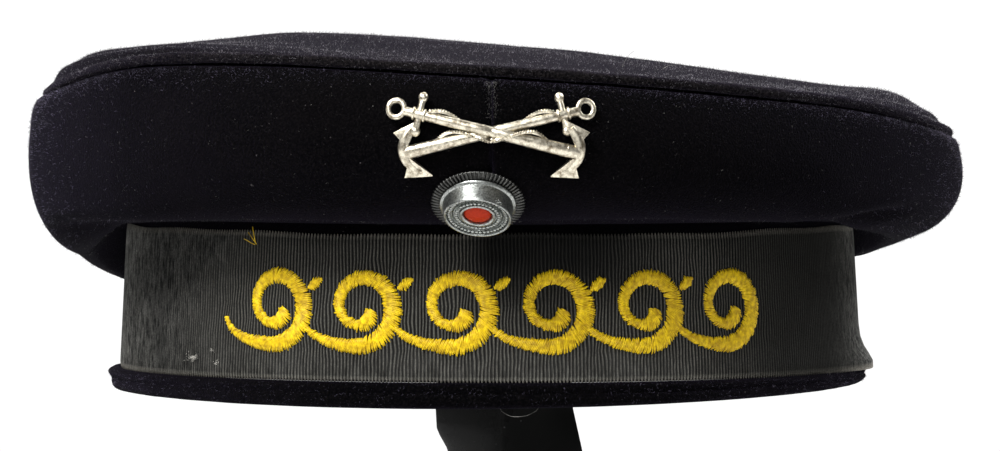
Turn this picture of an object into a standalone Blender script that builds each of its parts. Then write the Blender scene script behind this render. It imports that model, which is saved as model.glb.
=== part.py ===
"""A sailor cap of dark navy wool on a plain moulded stand, in metres, +Z up, front towards -Y.

The origin is the middle of the stand's underside. A turn is an angle round the cap, in degrees:
0 is the front, 90 the right of the front view, 180 the back and 270 the left of the front view.
Heights on the cap are measured from its lower rim, which the stand holds RIM_LIFT above the surface.
"""

import math

import bmesh
import bpy
from mathutils import Matrix, Vector
from mathutils.bvhtree import BVHTree

# Sizes of the cap's band, worked out from a head size of 58
BAND_WIDTH = 0.1892
BAND_DEPTH = 0.1950
BAND_TOP = 0.0440
BAND_TAPER = 0.0024
BAND_WALL = 0.0030

# The rolled hem below the band
HEM_HEIGHT = 0.0054
HEM_PROUD = 0.0019
HEM_DEPTH = 0.0052

# The tally ribbon round the band
RIBBON_HEIGHT = 0.0358
RIBBON_THICK = 0.0008

# The crown: a domed top, a welt and four side panels that fold under to the band
CROWN_WIDTH = 0.2380
CROWN_DEPTH = 0.2420
CLOTH = 0.0020
TOP_HEIGHT = 0.0880
TOP_DOME = 0.0056
TOP_TILT = -0.085
WELT_RADIUS = 0.0015
SEAM_GAP = 0.0003

# The badge of crossed anchors; its level is the height of its middle as a share of TOP_HEIGHT
ANCHOR_LENGTH = 0.0430
ANCHOR_LEAN = 13.0
SHANK_WIDTH = 0.0027
ARM_RADIUS = 0.0058
ARM_SWING = 62.0
ARM_THICK = 0.0024
FLUKE_WIDTH = 0.0042
FLUKE_LENGTH = 0.0046
FLUKE_TIP = 0.0006
SQUARE = math.sqrt(2)
STOCK_LENGTH = 0.0090
STOCK_WIDTH = 0.0019
STOCK_INSET = 0.0038
RING_RADIUS = 0.0018
RING_THICK = 0.0014
BADGE_DEPTH = 0.0022
CROSSING_LIFT = 0.0007
BADGE_LEVEL = 0.764
BEND_SPACING = 0.0060
BEND_START = 0.0022

# The cockade: a ribbed back plate, a turned metal cup and a red centre; its level as the badge's
COCKADE_LEVEL = 0.585
COCKADE_SIDE = -0.0035
RIBBED_RADIUS = 0.0100
RIBBED_THICK = 0.0014
RIB_COUNT = 52
RIB_DEPTH = 0.0004
CUP_RADIUS = 0.0091
CUP_DEPTH = 0.0042
CENTRE_RADIUS = 0.0030
CENTRE_HEIGHT = 0.0026
CENTRE_DOME = 0.0008

# The stand
RIM_LIFT = 0.0900
BASE_RADIUS = 0.0750
BASE_THICK = 0.0100
BASE_EDGE = 0.0020
HEAD_RADIUS = 0.0420
HEAD_THICK = 0.0120
POST_DEPTH = 0.0300

# Clearance between pieces that touch on the real cap
GAP = 0.0003
MERGE = 0.00001

# Cells of the meshes: round the cap, across the top and round the small parts
AROUND = 48
TOP_ROWS = 8
CUP_STEPS = 32
ARM_STEPS = 8
RING_STEPS = 12
SEAT_RINGS = 6
CENTRE_RINGS = 4
BISECTIONS = 30

# The crown's section at each turn. A reach is a share of the crown's half width and half depth,
# a height a share of TOP_HEIGHT. Fold is the lowest line of the cloth, full its widest one.
# Shoulder is the power by which the top falls to the welt: low for a soft slope, high for a late drop.
CROWN_COLUMNS = (
    "turn", "fold_reach", "fold_height", "full_reach", "full_height",
    "welt_reach", "welt_height", "shoulder",
)
CROWN_SECTIONS = (
    (0, 0.840, 0.512, 1.000, 0.760, 0.965, 0.933, 9),
    (45, 0.880, 0.506, 1.000, 0.682, 0.980, 0.847, 10),
    (90, 0.860, 0.403, 1.008, 0.625, 0.985, 0.722, 12),
    (135, 0.860, 0.352, 1.000, 0.591, 0.980, 0.807, 9),
    (180, 0.870, 0.330, 1.000, 0.614, 0.965, 0.898, 7),
    (225, 0.860, 0.295, 1.000, 0.591, 0.965, 0.925, 6),
    (270, 0.870, 0.375, 0.992, 0.670, 0.955, 0.868, 5),
    (315, 0.880, 0.506, 1.000, 0.727, 0.965, 0.960, 6),
)

# The rows of a side panel's mesh: its ledge over the band, its fold, its widest line and its welt edge
LEDGE_ROW = 1
FOLD_ROW = 4
FULL_ROW = 8
WELT_ROW = 11
LEAN_IN = math.radians(60)

# The hem's outline: out is a share of HEM_DEPTH, up a share of HEM_HEIGHT
HEM_COLUMNS = ("out", "up")
HEM_OUTLINE = (
    (0.00, 0.10),
    (0.55, 0.00),
    (0.93, 0.12),
    (0.98, 0.36),
    (0.86, 0.52),
    (1.00, 0.72),
    (0.90, 0.96),
    (0.00, 1.00),
)

# The post's corners at each level. Level is a height from the cap's rim, as a share of RIM_LIFT,
# and the others are shares of POST_DEPTH: to the left, of the front ridge, and to the right.
POST_COLUMNS = ("level", "left", "ridge", "right")
POST_SECTIONS = (
    (-0.86, -0.60, 0.10, 0.98),
    (-0.45, -0.36, 0.09, 0.86),
    (-0.18, -0.37, 0.08, 0.77),
    (-0.12, -0.47, 0.08, 0.73),
    (-0.06, -0.48, 0.08, 0.69),
    (0.40, -0.42, 0.08, 0.60),
)

# The cup's turned outline: out is a share of CUP_RADIUS, up a share of CUP_DEPTH
CUP_COLUMNS = ("out", "up")
CUP_OUTLINE = (
    (0.33, 0.00),
    (0.33, 0.78),
    (0.42, 0.92),
    (0.62, 0.86),
    (0.80, 0.97),
    (0.92, 0.92),
    (1.00, 0.70),
    (1.00, 0.00),
)


def rows_of(columns, table):
    """The table as a list of rows, each a dictionary by column name."""
    return [dict(zip(columns, row)) for row in table]


def blended(before, start, end, after, share):
    """A smooth value between start and end, with its slopes taken from their neighbours."""
    square = share * share
    cube = square * share
    slope_start = (end - before) / 2
    slope_end = (after - start) / 2
    return (
        (2 * cube - 3 * square + 1) * start
        + (cube - 2 * square + share) * slope_start
        + (3 * square - 2 * cube) * end
        + (cube - square) * slope_end
    )


def crown_section(turn):
    """The crown's section at a turn in degrees, smooth all the way round."""
    rows = rows_of(CROWN_COLUMNS, CROWN_SECTIONS)
    step = 360 / len(rows)
    place = (turn % 360) / step
    first = int(place) % len(rows)
    share = place - int(place)
    four = [rows[(first + offset) % len(rows)] for offset in (-1, 0, 1, 2)]
    return {name: blended(*(row[name] for row in four), share) for name in CROWN_COLUMNS[1:]}


def oval(turn, half_width, half_depth, height):
    """A point of an oval round the cap, at a height from the rim."""
    angle = math.radians(turn)
    return Vector((half_width * math.sin(angle), -half_depth * math.cos(angle), RIM_LIFT + height))


def band_half(height):
    """The half width and half depth of the band's outside at a height from the rim."""
    inward = BAND_TAPER * height / BAND_TOP
    return BAND_WIDTH / 2 - inward, BAND_DEPTH / 2 - inward


def crown_half(reach):
    """The half width and half depth of the crown at a reach."""
    return CROWN_WIDTH / 2 * reach, CROWN_DEPTH / 2 * reach


def mixed(start, end, share):
    """The values of start and end mixed by share."""
    return [a + (b - a) * share for a, b in zip(start, end)]


def side_point(turn, row):
    """A point of the crown's side, from the band at row 0 round the fold to the welt at WELT_ROW."""
    section = crown_section(turn)
    foot = [half - BAND_WALL / 2 for half in band_half(BAND_TOP)]
    ledge = [half + RIBBON_THICK + 3 * GAP for half in band_half(BAND_TOP)]
    foot_height = BAND_TOP + GAP
    fold = crown_half(section["fold_reach"])
    fold_height = section["fold_height"] * TOP_HEIGHT
    full = crown_half(section["full_reach"])
    full_height = section["full_height"] * TOP_HEIGHT
    welt = crown_half(section["welt_reach"])
    welt_height = section["welt_height"] * TOP_HEIGHT - WELT_RADIUS - GAP
    if row <= LEDGE_ROW:
        halves = mixed(foot, ledge, row / LEDGE_ROW)
        height = foot_height
    elif row <= FOLD_ROW:
        along = (row - LEDGE_ROW) / (FOLD_ROW - LEDGE_ROW)
        eased = along * along * (3 - 2 * along)
        halves = mixed(ledge, fold, along)
        height = foot_height + (fold_height - foot_height) * eased
    elif row <= FULL_ROW:
        angle = (row - FOLD_ROW) / (FULL_ROW - FOLD_ROW) * math.pi / 2
        halves = mixed(fold, full, math.sin(angle))
        height = fold_height + (full_height - fold_height) * (1 - math.cos(angle))
    else:
        angle = (row - FULL_ROW) / (WELT_ROW - FULL_ROW) * LEAN_IN
        halves = mixed(full, welt, (1 - math.cos(angle)) / (1 - math.cos(LEAN_IN)))
        height = full_height + (welt_height - full_height) * math.sin(angle) / math.sin(LEAN_IN)
    return oval(turn, *halves, height)


def top_point(turn, share, below=0.0):
    """A point of the crown's top, from its middle at share 0 to its edge at share 1."""
    section = crown_section(turn)
    edge = [half - WELT_RADIUS - 2 * GAP for half in crown_half(section["welt_reach"])]
    edge_height = section["welt_height"] * TOP_HEIGHT
    sloped_edge = TOP_HEIGHT + TOP_TILT * edge[0] * math.sin(math.radians(turn)) - TOP_DOME
    place = oval(turn, edge[0] * share, edge[1] * share, 0)
    height = TOP_HEIGHT + TOP_TILT * place.x - TOP_DOME * share**2
    height -= (sloped_edge - edge_height) * share ** section["shoulder"]
    place.z += height - below
    return place


def face_point(across, height, out=0.0):
    """A point out from the crown's front face, at a distance across the face and a height."""
    turn, row = face_place(across, height)
    return side_point(turn, row) + face_normal(turn, row) * out


def face_place(across, height):
    """The turn and the row of the crown's side at a distance across its front face and a height."""
    turn = math.degrees(across / (CROWN_WIDTH / 2))
    low, high = FOLD_ROW, WELT_ROW
    for _ in range(BISECTIONS):
        middle = (low + high) / 2
        if side_point(turn, middle).z < RIM_LIFT + height:
            low = middle
        else:
            high = middle
    return turn, low


def face_normal(turn, row):
    """The outward direction of the crown's side."""
    step = WELT_ROW / 100
    along = side_point(turn + 1, row) - side_point(turn - 1, row)
    up = side_point(turn, min(row + step, WELT_ROW)) - side_point(turn, row - step)
    return along.cross(up).normalized()


def make_material(name, colour, roughness, metallic=0.0):
    """A Principled material."""
    material = bpy.data.materials.new(name)
    material.use_nodes = True
    shader = material.node_tree.nodes["Principled BSDF"]
    shader.inputs["Base Color"].default_value = (*colour, 1)
    shader.inputs["Roughness"].default_value = roughness
    shader.inputs["Metallic"].default_value = metallic
    return material


def new_object(name, mesh, material):
    """Links a mesh as a named object of the cap, with its material."""
    obj = bpy.data.objects.new(name, mesh)
    bpy.data.collections["sailor_cap"].objects.link(obj)
    obj.data.materials.clear()
    obj.data.materials.append(material)
    return obj


def smooth(obj, sharp_degrees=40):
    """Shades a round piece smooth, with its sharp edges kept."""
    obj.data.shade_smooth()
    obj.data.set_sharp_from_angle(angle=math.radians(sharp_degrees))
    return obj


def sheet(name, material, columns, rows, place, closed=False):
    """A grid of cells, each corner moved to place(column share, row share)."""
    shape = bmesh.new()
    bmesh.ops.create_grid(shape, x_segments=columns, y_segments=rows, size=0.5)
    for vert in shape.verts:
        vert.co = place(vert.co.x + 0.5, vert.co.y + 0.5)
    bmesh.ops.remove_doubles(shape, verts=shape.verts, dist=MERGE)
    if closed:
        bmesh.ops.recalc_face_normals(shape, faces=shape.faces)
    mesh = bpy.data.meshes.new(name)
    shape.to_mesh(mesh)
    shape.free()
    return smooth(new_object(name, mesh, material))


def close_ends(obj):
    """Fills the open ends of a sheet, so that it becomes a solid."""
    shape = bmesh.new()
    shape.from_mesh(obj.data)
    bmesh.ops.holes_fill(shape, edges=[edge for edge in shape.edges if edge.is_boundary], sides=0)
    bmesh.ops.recalc_face_normals(shape, faces=shape.faces)
    shape.to_mesh(obj.data)
    shape.free()


def thicken(obj, thickness):
    """Gives an open sheet its wall, inwards from the face that shows."""
    wall = obj.modifiers.new("wall", "SOLIDIFY")
    wall.thickness = thickness
    wall.offset = -1
    return obj


def make_side_panel(name, material, first_turn, last_turn):
    """One quarter of the crown's side, from one seam to the next."""
    margin = math.degrees(SEAM_GAP / CROWN_WIDTH)
    start = first_turn + margin
    span = last_turn - first_turn - 2 * margin

    def place(column, row):
        return side_point(start + span * column, row * WELT_ROW)

    return thicken(sheet(name, material, AROUND // 4, WELT_ROW, place), CLOTH)


def make_top(material):
    """The domed top of the crown, its rings closer together towards the edge."""

    def place(column, row):
        return top_point(360 * column, math.cos(row * math.pi / 2))

    return thicken(sheet("crown_top", material, AROUND, TOP_ROWS, place), CLOTH)


def make_welt(material):
    """The corded welt between the top and the sides."""
    curve = bpy.data.curves.new("top_welt", "CURVE")
    curve.dimensions = "3D"
    curve.bevel_depth = WELT_RADIUS
    curve.bevel_resolution = 1
    line = curve.splines.new("POLY")
    line.points.add(AROUND - 1)
    line.use_cyclic_u = True
    for number, point in enumerate(line.points):
        turn = 360 * number / AROUND
        section = crown_section(turn)
        halves = [half - GAP for half in crown_half(section["welt_reach"])]
        point.co = (*oval(turn, *halves, section["welt_height"] * TOP_HEIGHT), 1)
    return new_object("top_welt", curve, material)


def make_band(material):
    """The upright band, above its hem."""
    foot = HEM_HEIGHT + GAP

    def place(column, row):
        height = foot + (BAND_TOP - foot) * row
        return oval(360 * column, *band_half(height), height)

    return thicken(sheet("band", material, AROUND, 1, place), BAND_WALL)


def make_hem(material):
    """The rolled hem below the band, two soft ridges with a groove between them."""
    outline = rows_of(HEM_COLUMNS, HEM_OUTLINE)
    inside = HEM_DEPTH - HEM_PROUD

    def place(column, row):
        corner = outline[round(row * len(outline)) % len(outline)]
        out = corner["out"] * HEM_DEPTH - inside
        halves = [half + out for half in band_half(0)]
        return oval(360 * column, *halves, corner["up"] * HEM_HEIGHT)

    return sheet("band_hem", material, AROUND, len(outline), place, closed=True)


def make_ribbon(material):
    """The tally ribbon, a closed loop round the band."""
    foot = HEM_HEIGHT + GAP
    out = GAP + RIBBON_THICK

    def place(column, row):
        height = foot + RIBBON_HEIGHT * row
        return oval(360 * column, *(half + out for half in band_half(height)), height)

    return thicken(sheet("tally_ribbon", material, AROUND, 2, place), RIBBON_THICK)


def fused(pieces, name, material):
    """One solid from pieces that overlap."""
    first = pieces[0]
    for piece in pieces[1:]:
        union = first.modifiers.new("join", "BOOLEAN")
        union.operation = "UNION"
        union.solver = "MANIFOLD"
        union.object = piece
    graph = bpy.context.evaluated_depsgraph_get()
    mesh = bpy.data.meshes.new_from_object(first.evaluated_get(graph))
    mesh.name = name
    for piece in pieces:
        bpy.data.objects.remove(piece)
    return new_object(name, mesh, material)


def loose_piece(shape):
    """A helper object from a bmesh, to be fused with others."""
    mesh = bpy.data.meshes.new("loose")
    shape.to_mesh(mesh)
    shape.free()
    obj = bpy.data.objects.new("loose", mesh)
    bpy.data.collections["sailor_cap"].objects.link(obj)
    return obj


def bar(length, width, depth, middle, lean=0.0):
    """A bar with chamfered long edges, lying along X."""
    shape = bmesh.new()
    turned = Matrix.Rotation(math.radians(90), 4, "Y") @ Matrix.Rotation(math.radians(22.5), 4, "Z")
    bmesh.ops.create_cone(
        shape, cap_ends=True, segments=8, radius1=width / 2, radius2=width / 2, depth=length, matrix=turned
    )
    bmesh.ops.scale(shape, vec=(1, depth / width, 1), verts=shape.verts)
    bmesh.ops.rotate(shape, matrix=Matrix.Rotation(lean, 3, "Y"), verts=shape.verts)
    bmesh.ops.translate(shape, vec=middle, verts=shape.verts)
    return loose_piece(shape)


def swept(points, radius, cyclic=False):
    """A round bar along points, as a mesh."""
    curve = bpy.data.curves.new("swept", "CURVE")
    curve.dimensions = "3D"
    curve.bevel_depth = radius
    curve.bevel_resolution = 1
    curve.use_fill_caps = not cyclic
    line = curve.splines.new("POLY")
    line.points.add(len(points) - 1)
    line.use_cyclic_u = cyclic
    for point, place in zip(line.points, points):
        point.co = (*place, 1)
    guide = bpy.data.objects.new("swept", curve)
    bpy.data.collections["sailor_cap"].objects.link(guide)
    graph = bpy.context.evaluated_depsgraph_get()
    mesh = bpy.data.meshes.new_from_object(guide.evaluated_get(graph))
    bpy.data.objects.remove(guide)
    shape = bmesh.new()
    shape.from_mesh(mesh)
    bmesh.ops.remove_doubles(shape, verts=shape.verts, dist=MERGE)
    return loose_piece(shape)


def fluke(side):
    """The pointed fluke at one end of an anchor's arms, along the arm's direction there."""
    swing = math.radians(ARM_SWING)
    shape = bmesh.new()
    bmesh.ops.create_cone(
        shape, cap_ends=True, segments=4, radius1=FLUKE_WIDTH / SQUARE, radius2=FLUKE_TIP / SQUARE,
        depth=FLUKE_LENGTH, matrix=Matrix.Rotation(math.radians(45), 4, "Z"),
    )
    bmesh.ops.scale(shape, vec=(1, BADGE_DEPTH / FLUKE_WIDTH, 1), verts=shape.verts)
    lean = swing if side > 0 else math.pi - swing
    bmesh.ops.rotate(shape, matrix=Matrix.Rotation(lean, 3, "Y"), verts=shape.verts)
    bmesh.ops.translate(shape, vec=arm_point(side), verts=shape.verts)
    return loose_piece(shape)


def arm_point(share):
    """A point of an anchor's arms, from one end at share -1 to the other at share 1."""
    angle = math.radians(ARM_SWING) * share
    crown = -ANCHOR_LENGTH / 2
    return crown + ARM_RADIUS * (1 - math.cos(angle)), 0, ARM_RADIUS * math.sin(angle)


def anchor_pieces(mirror):
    """The overlapping pieces of one flat anchor, its ring end up to one side."""
    half = ANCHOR_LENGTH / 2
    arms = [arm_point(2 * number / ARM_STEPS - 1) for number in range(ARM_STEPS + 1)]
    ring_turns = [2 * math.pi * number / RING_STEPS for number in range(RING_STEPS)]
    ring_at = half + RING_RADIUS
    ring = [(ring_at + RING_RADIUS * math.cos(a), 0, RING_RADIUS * math.sin(a)) for a in ring_turns]
    pieces = [
        bar(ANCHOR_LENGTH, SHANK_WIDTH, BADGE_DEPTH, (0, 0, 0)),
        bar(STOCK_LENGTH, STOCK_WIDTH, STOCK_WIDTH, (half - STOCK_INSET, 0, 0), math.pi / 2),
        swept(arms, ARM_THICK / 2),
        swept(ring, RING_THICK / 2, cyclic=True),
        fluke(-1),
        fluke(1),
    ]
    lift = BADGE_DEPTH / 2 + (CROSSING_LIFT if mirror else 0)
    lean = Matrix.Rotation(math.radians(-ANCHOR_LEAN), 4, "Y")
    for piece in pieces:
        piece.data.transform(Matrix.Translation((0, lift, 0)) @ lean)
        if mirror:
            piece.data.transform(Matrix.Scale(-1, 4, (1, 0, 0)))
            piece.data.flip_normals()
    return pieces


def cut_across(mesh, axis, reach):
    """Cuts the faces of a mesh along planes, so that it can bend between them."""
    shape = bmesh.new()
    shape.from_mesh(mesh)
    count = int(reach / BEND_SPACING)
    normal = Vector((0, 0, 0))
    normal[axis] = 1
    for number in range(-count, count + 1):
        bmesh.ops.bisect_plane(
            shape, geom=[*shape.verts, *shape.edges, *shape.faces], dist=MERGE / 10,
            plane_co=normal * (BEND_START + BEND_SPACING * number), plane_no=normal,
        )
    shape.to_mesh(mesh)
    shape.free()


def make_badge(material):
    """Two crossed anchors, cast as one, bent to the crown's front face."""
    badge = fused(anchor_pieces(False) + anchor_pieces(True), "anchor_badge", material)
    cut_across(badge.data, 0, ANCHOR_LENGTH / 2)
    cut_across(badge.data, 2, 2 * ARM_RADIUS)
    for vert in badge.data.vertices:
        flat = vert.co.copy()
        vert.co = face_point(flat.x, BADGE_LEVEL * TOP_HEIGHT + flat.z, GAP + flat.y)
    badge.data.flip_normals()
    return smooth(badge, 30)


def seat_height(foot, outward, radius):
    """How far the crown's panels stand out from the plane at foot, within a radius of it."""
    graph = bpy.context.evaluated_depsgraph_get()
    panels = [obj for obj in bpy.data.objects if obj.name.startswith("crown_side")]
    trees = [BVHTree.FromObject(panel, graph) for panel in panels]
    turned = outward.to_track_quat("Z", "Y")
    heights = []
    for ring in range(SEAT_RINGS + 1):
        for spoke in range(CUP_STEPS):
            angle = 2 * math.pi * spoke / CUP_STEPS
            reach = radius * ring / SEAT_RINGS
            above = foot + turned @ Vector((reach * math.cos(angle), reach * math.sin(angle), radius))
            hits = [tree.ray_cast(above, -outward)[3] for tree in trees]
            heights += [radius - distance for distance in hits if distance is not None]
    return max(heights)


def cockade_matrix(out):
    """The cockade's frame: Z is the crown's outward direction, the origin is out from its seat."""
    turn, row = face_place(COCKADE_SIDE, COCKADE_LEVEL * TOP_HEIGHT)
    foot, outward = side_point(turn, row), face_normal(turn, row)
    seat = seat_height(foot, outward, RIBBED_RADIUS)
    turned = outward.to_track_quat("Z", "Y").to_matrix().to_4x4()
    return Matrix.Translation(foot + outward * (seat + out)) @ turned


def make_ribbed_plate(material):
    """The cockade's back plate, with radial ribs round its edge."""
    shape = bmesh.new()
    bmesh.ops.create_cone(
        shape, cap_ends=True, segments=2 * RIB_COUNT,
        radius1=RIBBED_RADIUS, radius2=RIBBED_RADIUS, depth=RIBBED_THICK,
    )
    for vert in shape.verts:
        number = round(math.atan2(vert.co.y, vert.co.x) / (math.pi / RIB_COUNT))
        if number % 2:
            vert.co.xy *= 1 - RIB_DEPTH / RIBBED_RADIUS
    mesh = bpy.data.meshes.new("cockade_plate")
    shape.to_mesh(mesh)
    shape.free()
    plate = new_object("cockade_plate", mesh, material)
    plate.matrix_world = cockade_matrix(GAP + RIBBED_THICK / 2)
    return plate


def make_cup(material):
    """The cockade's turned metal cup, open in the middle for the red centre."""
    mesh = bpy.data.meshes.new("cockade_cup")
    shape = bmesh.new()
    corners = [
        shape.verts.new((row["out"] * CUP_RADIUS, 0, row["up"] * CUP_DEPTH))
        for row in rows_of(CUP_COLUMNS, CUP_OUTLINE)
    ]
    for number, corner in enumerate(corners):
        shape.edges.new((corner, corners[(number + 1) % len(corners)]))
    shape.to_mesh(mesh)
    shape.free()
    cup = new_object("cockade_cup", mesh, material)
    turned = cup.modifiers.new("turned", "SCREW")
    turned.steps = CUP_STEPS
    turned.render_steps = CUP_STEPS
    turned.use_merge_vertices = True
    turned.merge_threshold = MERGE
    cup.matrix_world = cockade_matrix(2 * GAP + RIBBED_THICK)
    return smooth(cup)


def make_centre(material):
    """The cockade's red centre, a low dome in the cup."""
    radius = CENTRE_RADIUS - GAP

    def place(column, row):
        angle = 2 * math.pi * column
        share = min(1, 1 - (row * (CENTRE_RINGS + 1) - 1) / CENTRE_RINGS)
        height = CENTRE_HEIGHT + CENTRE_DOME * (1 - share**2) if row > 0 else 0
        return Vector((radius * share * math.cos(angle), radius * share * math.sin(angle), height))

    centre = sheet("cockade_centre", material, CUP_STEPS // 2, CENTRE_RINGS + 1, place)
    close_ends(centre)
    centre.matrix_world = cockade_matrix(2 * GAP + RIBBED_THICK)
    return smooth(centre)


def make_stand_base(material):
    """The stand's round base."""
    shape = bmesh.new()
    bmesh.ops.create_cone(
        shape, cap_ends=True, segments=AROUND, radius1=BASE_RADIUS, radius2=BASE_RADIUS,
        depth=BASE_THICK, matrix=Matrix.Translation((0, 0, BASE_THICK / 2)),
    )
    mesh = bpy.data.meshes.new("stand_base")
    shape.to_mesh(mesh)
    shape.free()
    base = new_object("stand_base", mesh, material)
    rounded = base.modifiers.new("rounded", "BEVEL")
    rounded.width = BASE_EDGE
    rounded.segments = 2
    return smooth(base, 50)


def make_stand_post(material):
    """The stand's four-cornered post, one corner to the front, from the base to the head."""
    rows = rows_of(POST_COLUMNS, POST_SECTIONS)
    foot = BASE_THICK + GAP
    top = head_underside() - GAP
    levels = [RIM_LIFT * (1 + row["level"]) for row in rows]
    levels[0], levels[-1] = foot, top

    def place(column, row):
        number = round(row * (len(rows) - 1))
        section = rows[number]
        corners = (
            (section["ridge"], -0.5),
            (section["right"], 0),
            (section["ridge"], 0.5),
            (section["left"], 0),
        )
        across, back = corners[round(column * len(corners)) % len(corners)]
        return Vector((across * POST_DEPTH, back * POST_DEPTH, levels[number]))

    post = sheet("stand_post", material, 4, len(rows) - 1, place)
    close_ends(post)
    return smooth(post, 20)


def head_share(share):
    """A share of the head's radius as a share of the crown top's half width."""
    return share * HEAD_RADIUS / (CROWN_WIDTH / 2)


def head_underside():
    """The height of the stand head's flat underside, its thickness below the crown's lining side."""
    lowest = min(top_point(turn, head_share(1), CLOTH + 2 * GAP).z for turn in range(0, 360, 15))
    return lowest - HEAD_THICK


def make_stand_head(material):
    """The stand's head, shaped to the inside of the crown's top that rests on it."""
    underside = head_underside()
    head = sheet(
        "stand_head", material, AROUND // 2, 3,
        lambda column, row: top_point(360 * column, head_share(1 - row), CLOTH + 2 * GAP),
    )
    shape = bmesh.new()
    shape.from_mesh(head.data)
    rim = [edge for edge in shape.edges if edge.is_boundary]
    skirt = bmesh.ops.extrude_edge_only(shape, edges=rim)["geom"]
    for item in skirt:
        if isinstance(item, bmesh.types.BMVert):
            item.co.z = underside
    shape.to_mesh(head.data)
    shape.free()
    close_ends(head)
    return smooth(head)


def clear_scene():
    """Removes what the scene holds and makes the cap's collection."""
    for obj in list(bpy.data.objects):
        bpy.data.objects.remove(obj)
    bpy.context.scene.collection.children.link(bpy.data.collections.new("sailor_cap"))


def main():
    clear_scene()
    wool = make_material("navy_wool", (0.012, 0.011, 0.020), 0.95)
    grosgrain = make_material("black_grosgrain", (0.030, 0.030, 0.026), 0.70)
    nickel = make_material("aged_nickel", (0.62, 0.58, 0.48), 0.38, 1.0)
    dark_metal = make_material("dark_ribbed_metal", (0.10, 0.10, 0.10), 0.55, 0.6)
    zinc = make_material("dull_zinc", (0.42, 0.45, 0.46), 0.42, 1.0)
    red = make_material("red_enamel", (0.55, 0.06, 0.02), 0.45)
    plastic = make_material("black_plastic", (0.020, 0.022, 0.022), 0.35)
    make_top(wool)
    make_welt(wool)
    make_side_panel("crown_side_front_right", wool, 0, 90)
    make_side_panel("crown_side_back_right", wool, 90, 180)
    make_side_panel("crown_side_back_left", wool, 180, 270)
    make_side_panel("crown_side_front_left", wool, 270, 360)
    make_band(wool)
    make_hem(wool)
    make_ribbon(grosgrain)
    make_badge(nickel)
    make_ribbed_plate(dark_metal)
    make_cup(zinc)
    make_centre(red)
    make_stand_base(plastic)
    make_stand_post(plastic)
    make_stand_head(plastic)


main()
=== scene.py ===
import math

import bpy
import numpy as np
from mathutils import Matrix, Vector


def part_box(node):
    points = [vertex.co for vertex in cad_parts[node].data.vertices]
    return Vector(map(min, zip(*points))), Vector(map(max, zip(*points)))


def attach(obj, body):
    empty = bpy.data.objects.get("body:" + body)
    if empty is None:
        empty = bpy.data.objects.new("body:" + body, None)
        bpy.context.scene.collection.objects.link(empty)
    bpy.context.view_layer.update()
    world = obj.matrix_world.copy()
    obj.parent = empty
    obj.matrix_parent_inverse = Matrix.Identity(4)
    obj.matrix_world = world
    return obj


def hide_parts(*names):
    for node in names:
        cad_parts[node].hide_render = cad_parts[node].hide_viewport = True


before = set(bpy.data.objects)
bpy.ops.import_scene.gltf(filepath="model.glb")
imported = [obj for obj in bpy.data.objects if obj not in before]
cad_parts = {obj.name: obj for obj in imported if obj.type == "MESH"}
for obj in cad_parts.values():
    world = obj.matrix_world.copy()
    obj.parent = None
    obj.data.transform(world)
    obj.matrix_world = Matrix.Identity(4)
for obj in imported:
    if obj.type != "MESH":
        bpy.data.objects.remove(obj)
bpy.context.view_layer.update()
print("frame loaded")

photoCamera = {
    "place": (0.00204, -2.2, 0.192), "aim": (0.00204, 0.0, 0.1314), "lens": 310.5, "sensor": 36,
    "farthest": 40,
}

studio = {
    "floorRadius": 1.30, "fadeFrom": 0.75, "fadeTo": 1.25,
    "floorTones": ((0.56, 0.56, 0.56), (0.59, 0.59, 0.59)), "roomStrength": 0.13, "paperStrength": 1.05,
}

# place, aim, size across, size up, watts
studioLamps = {
    "keyLamp": ((-0.70, -0.95, 1.30), (0, 0, 0.12), 0.6, 0.45, 40.0),
    "topLamp": ((0.05, 0.45, 1.30), (0, 0, 0.15), 0.9, 0.6, 8.0),
    "leftLamp": ((-0.90, 0.30, 1.30), (0, 0, 0.12), 0.6, 0.6, 15.0),
    "rightLamp": ((1.00, 0.30, 1.10), (0, 0, 0.12), 0.6, 0.6, 20.0),
    "frontLamp": ((-0.30, -1.80, 1.00), (0, 0, 0.12), 0.8, 0.4, 8.0),
    "backLamp": ((0, 2.2, 0.60), (0, 0, 0.12), 1.7, 0.8, 12.0),
}


def makeCamera():
    lens = bpy.data.cameras.new("photoCamera")
    camera = bpy.data.objects.new("photoCamera", lens)
    bpy.context.scene.collection.objects.link(camera)
    camera.location = photoCamera["place"]
    away = Vector(photoCamera["aim"]) - camera.location
    camera.rotation_euler = away.to_track_quat("-Z", "Y").to_euler()
    lens.sensor_width, lens.lens = photoCamera["sensor"], photoCamera["lens"]
    lens.clip_end = photoCamera["farthest"]
    bpy.context.scene.camera = camera


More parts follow.
